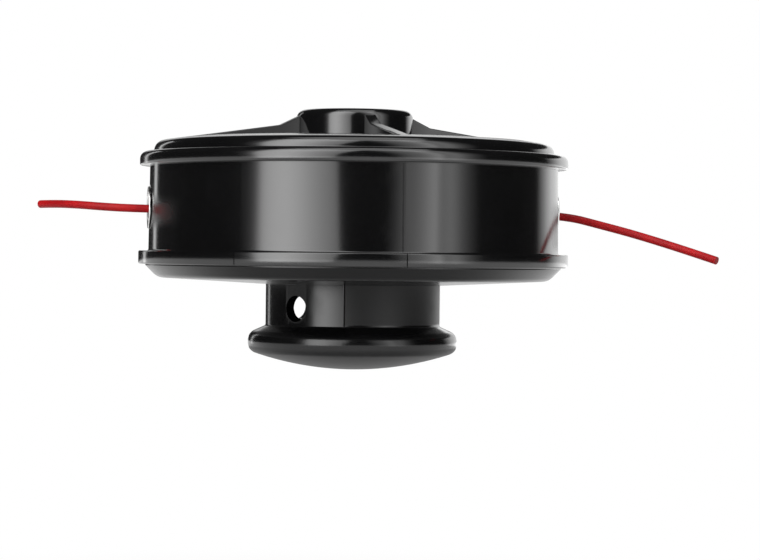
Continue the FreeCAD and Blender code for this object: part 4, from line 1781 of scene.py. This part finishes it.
KEY_GLOW = (
    (0.0, 0.01), (0.07, 0.036), (0.122, 0.077), (0.16, 0.15), (0.185, 0.34), (0.21, 0.56), (0.24, 0.76),
    (0.29, 0.88), (0.414, 1.0), (0.492, 1.0), (0.603, 0.87), (0.715, 0.68), (0.831, 0.517), (1.0, 0.34),
)
SIDE_GLOW = (
    (0.0, 0.01), (0.077, 0.1), (0.12, 0.19), (0.204, 0.34), (0.284, 0.42), (0.364, 0.58), (0.442, 0.85),
    (0.495, 1.0), (0.525, 0.6), (0.56, 0.49), (0.643, 0.62), (0.687, 0.54), (0.776, 0.27), (0.873, 0.11),
    (1.0, 0.0),
)
BACK_GLOW = ((0.0, 0.05), (0.152, 0.5), (0.278, 0.82), (0.423, 1.0), (0.62, 0.85), (1.0, 0.6))
LAMPS = (
    Softbox(
        "key_softbox", azimuth=-42.5, elevation=22.0, width=1.249, height=2.2, level=4.7, glow=KEY_GLOW
    ),
    Softbox(
        "side_softbox", azimuth=38.0, elevation=22.0, width=1.223, height=2.2, level=2.6, glow=SIDE_GLOW
    ),
    Softbox(
        "back_softbox", azimuth=140.0, elevation=4.0, width=1.12, height=0.45, level=1.6, glow=BACK_GLOW
    ),
    Softbox(
        "back_strip", azimuth=-152.5, elevation=4.0, width=0.12, height=0.9, level=1.5
    ),
    Softbox(
        "top_softbox", azimuth=10.0, elevation=78.0, width=0.9, height=0.9, level=1.4
    ),
)


@dataclass
class Studio:
    """The pale floor, the white surround and the lamps."""

    floor_z: float = -0.17
    floor_size: float = 12.0
    paper: Span = (0.54, 0.58)
    fibre_pattern: Pattern = (700.0, 3.0)
    shadow_reach: Span = (0.1, 0.36)
    shadow_white: float = 0.72
    mirror_reach: Span = (0.055, 0.2)
    aim: Point = (0.0, 0.0, -0.035)
    surround: float = 0.028
    behind: Point = (0.119, 0.932, 0.342)
    behind_cone: Span = (0.955, 0.985)
    behind_level: float = 0.9

    def floor(self) -> None:
        """Lay the floor, white to the camera and in gloss, with the head's shadow on it."""
        Bench.clear()
        bpy.ops.mesh.primitive_plane_add(size=self.floor_size, location=(0.0, 0.0, self.floor_z))
        plane = Bench.named("studio_floor")
        material, graph = new_material("floor_paper")
        low, high = ((level, level, level, 1.0) for level in self.paper)
        paper = graph.mix(graph.noise(graph.place(), self.fibre_pattern), low, high)
        matt = graph.node("ShaderNodeBsdfDiffuse", {}, {"Color": paper}).outputs[0]
        white = graph.node("ShaderNodeEmission", {}, {"Color": WHITE, "Strength": 1.0}).outputs[0]
        away = graph.value("ShaderNodeVectorMath", {"operation": "LENGTH"}, {0: graph.place()}, "Value")
        path = graph.node("ShaderNodeLightPath", {}, {}).outputs
        seen = Value(graph, path["Is Camera Ray"]) * away.ramp(*self.shadow_reach, self.shadow_white, 1.0)
        mirrored = Value(graph, path["Is Glossy Ray"]) * away.ramp(*self.mirror_reach)
        shade = graph.node("ShaderNodeMixShader", {}, {0: seen + mirrored, 1: matt, 2: white})
        graph.node("ShaderNodeOutputMaterial", {}, {"Surface": shade.outputs[0]})
        plane.data.materials.append(material)

    def world(self) -> None:
        """White to the camera and behind the head, dim elsewhere."""
        world = bpy.data.worlds.new("studio_surround")
        world.use_nodes = True
        bpy.context.scene.world = world
        graph = Graph(world.node_tree)
        path = graph.node("ShaderNodeLightPath", {}, {}).outputs
        camera = Value(graph, path["Is Camera Ray"])
        mirror = Value(graph, path["Is Glossy Ray"]) + Value(graph, path["Is Transmission Ray"])
        way = graph.node("ShaderNodeTexCoord", {}, {}).outputs["Generated"]
        turned = {0: way, 1: self.behind}
        facing = graph.value("ShaderNodeVectorMath", {"operation": "DOT_PRODUCT"}, turned, "Value")
        bright = mirror * facing.ramp(*self.behind_cone) * self.behind_level
        level = camera + (1 - camera) * (bright + self.surround)
        back = graph.node("ShaderNodeBackground", {}, {"Color": WHITE, "Strength": level})
        graph.node("ShaderNodeOutputWorld", {}, {"Surface": back.outputs[0]})

    def build(self) -> None:
        """Set the whole studio."""
        self.floor()
        self.world()
        for lamp in LAMPS:
            lamp.build(Vector(self.aim))
        bpy.context.scene.view_settings.view_transform = "Standard"


LEFT_ROUTE: Sequence[Point] = (
    (-56.1, 0.0, -30.48),
    (-66.1, 0.0, -30.38),
    (-75.0, 2.0, -29.98),
    (-82.5, 6.0, -29.38),
    (-89.3, 11.9, -29.08),
    (-93.7, 17.8, -29.18),
)
LEFT_LENGTH = 43.9
RIGHT_ROUTE: Sequence[Point] = (
    (56.1, 0.0, -30.68),
    (65.6, 0.0, -31.08),
    (75.5, -1.6, -33.58),
    (84.7, -4.8, -36.08),
    (93.7, -9.5, -38.98),
    (102.0, -15.6, -41.98),
    (107.3, -20.7, -44.08),
)
RIGHT_LENGTH = 58.7


def main() -> None:
    """Build the head piece by piece, then the studio."""
    logging.basicConfig(level=logging.INFO, format="%(name)s: %(message)s")
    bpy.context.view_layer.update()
    PhotoCamera().build()
    finishes = Finishes()
    FreeLine(finishes, Side.LEFT, LEFT_ROUTE, LEFT_LENGTH).build()
    FreeLine(finishes, Side.RIGHT, RIGHT_ROUTE, RIGHT_LENGTH).build()
    for assembly in (TopCase, Drum, BottomCover, BumpKnob, Eyelets, HubNut, SpringCoil, LineWindings):
        assembly(finishes).build()
    InnerSolids(finishes).dress()
    Studio().build()


if __name__ == "__main__":
    main()
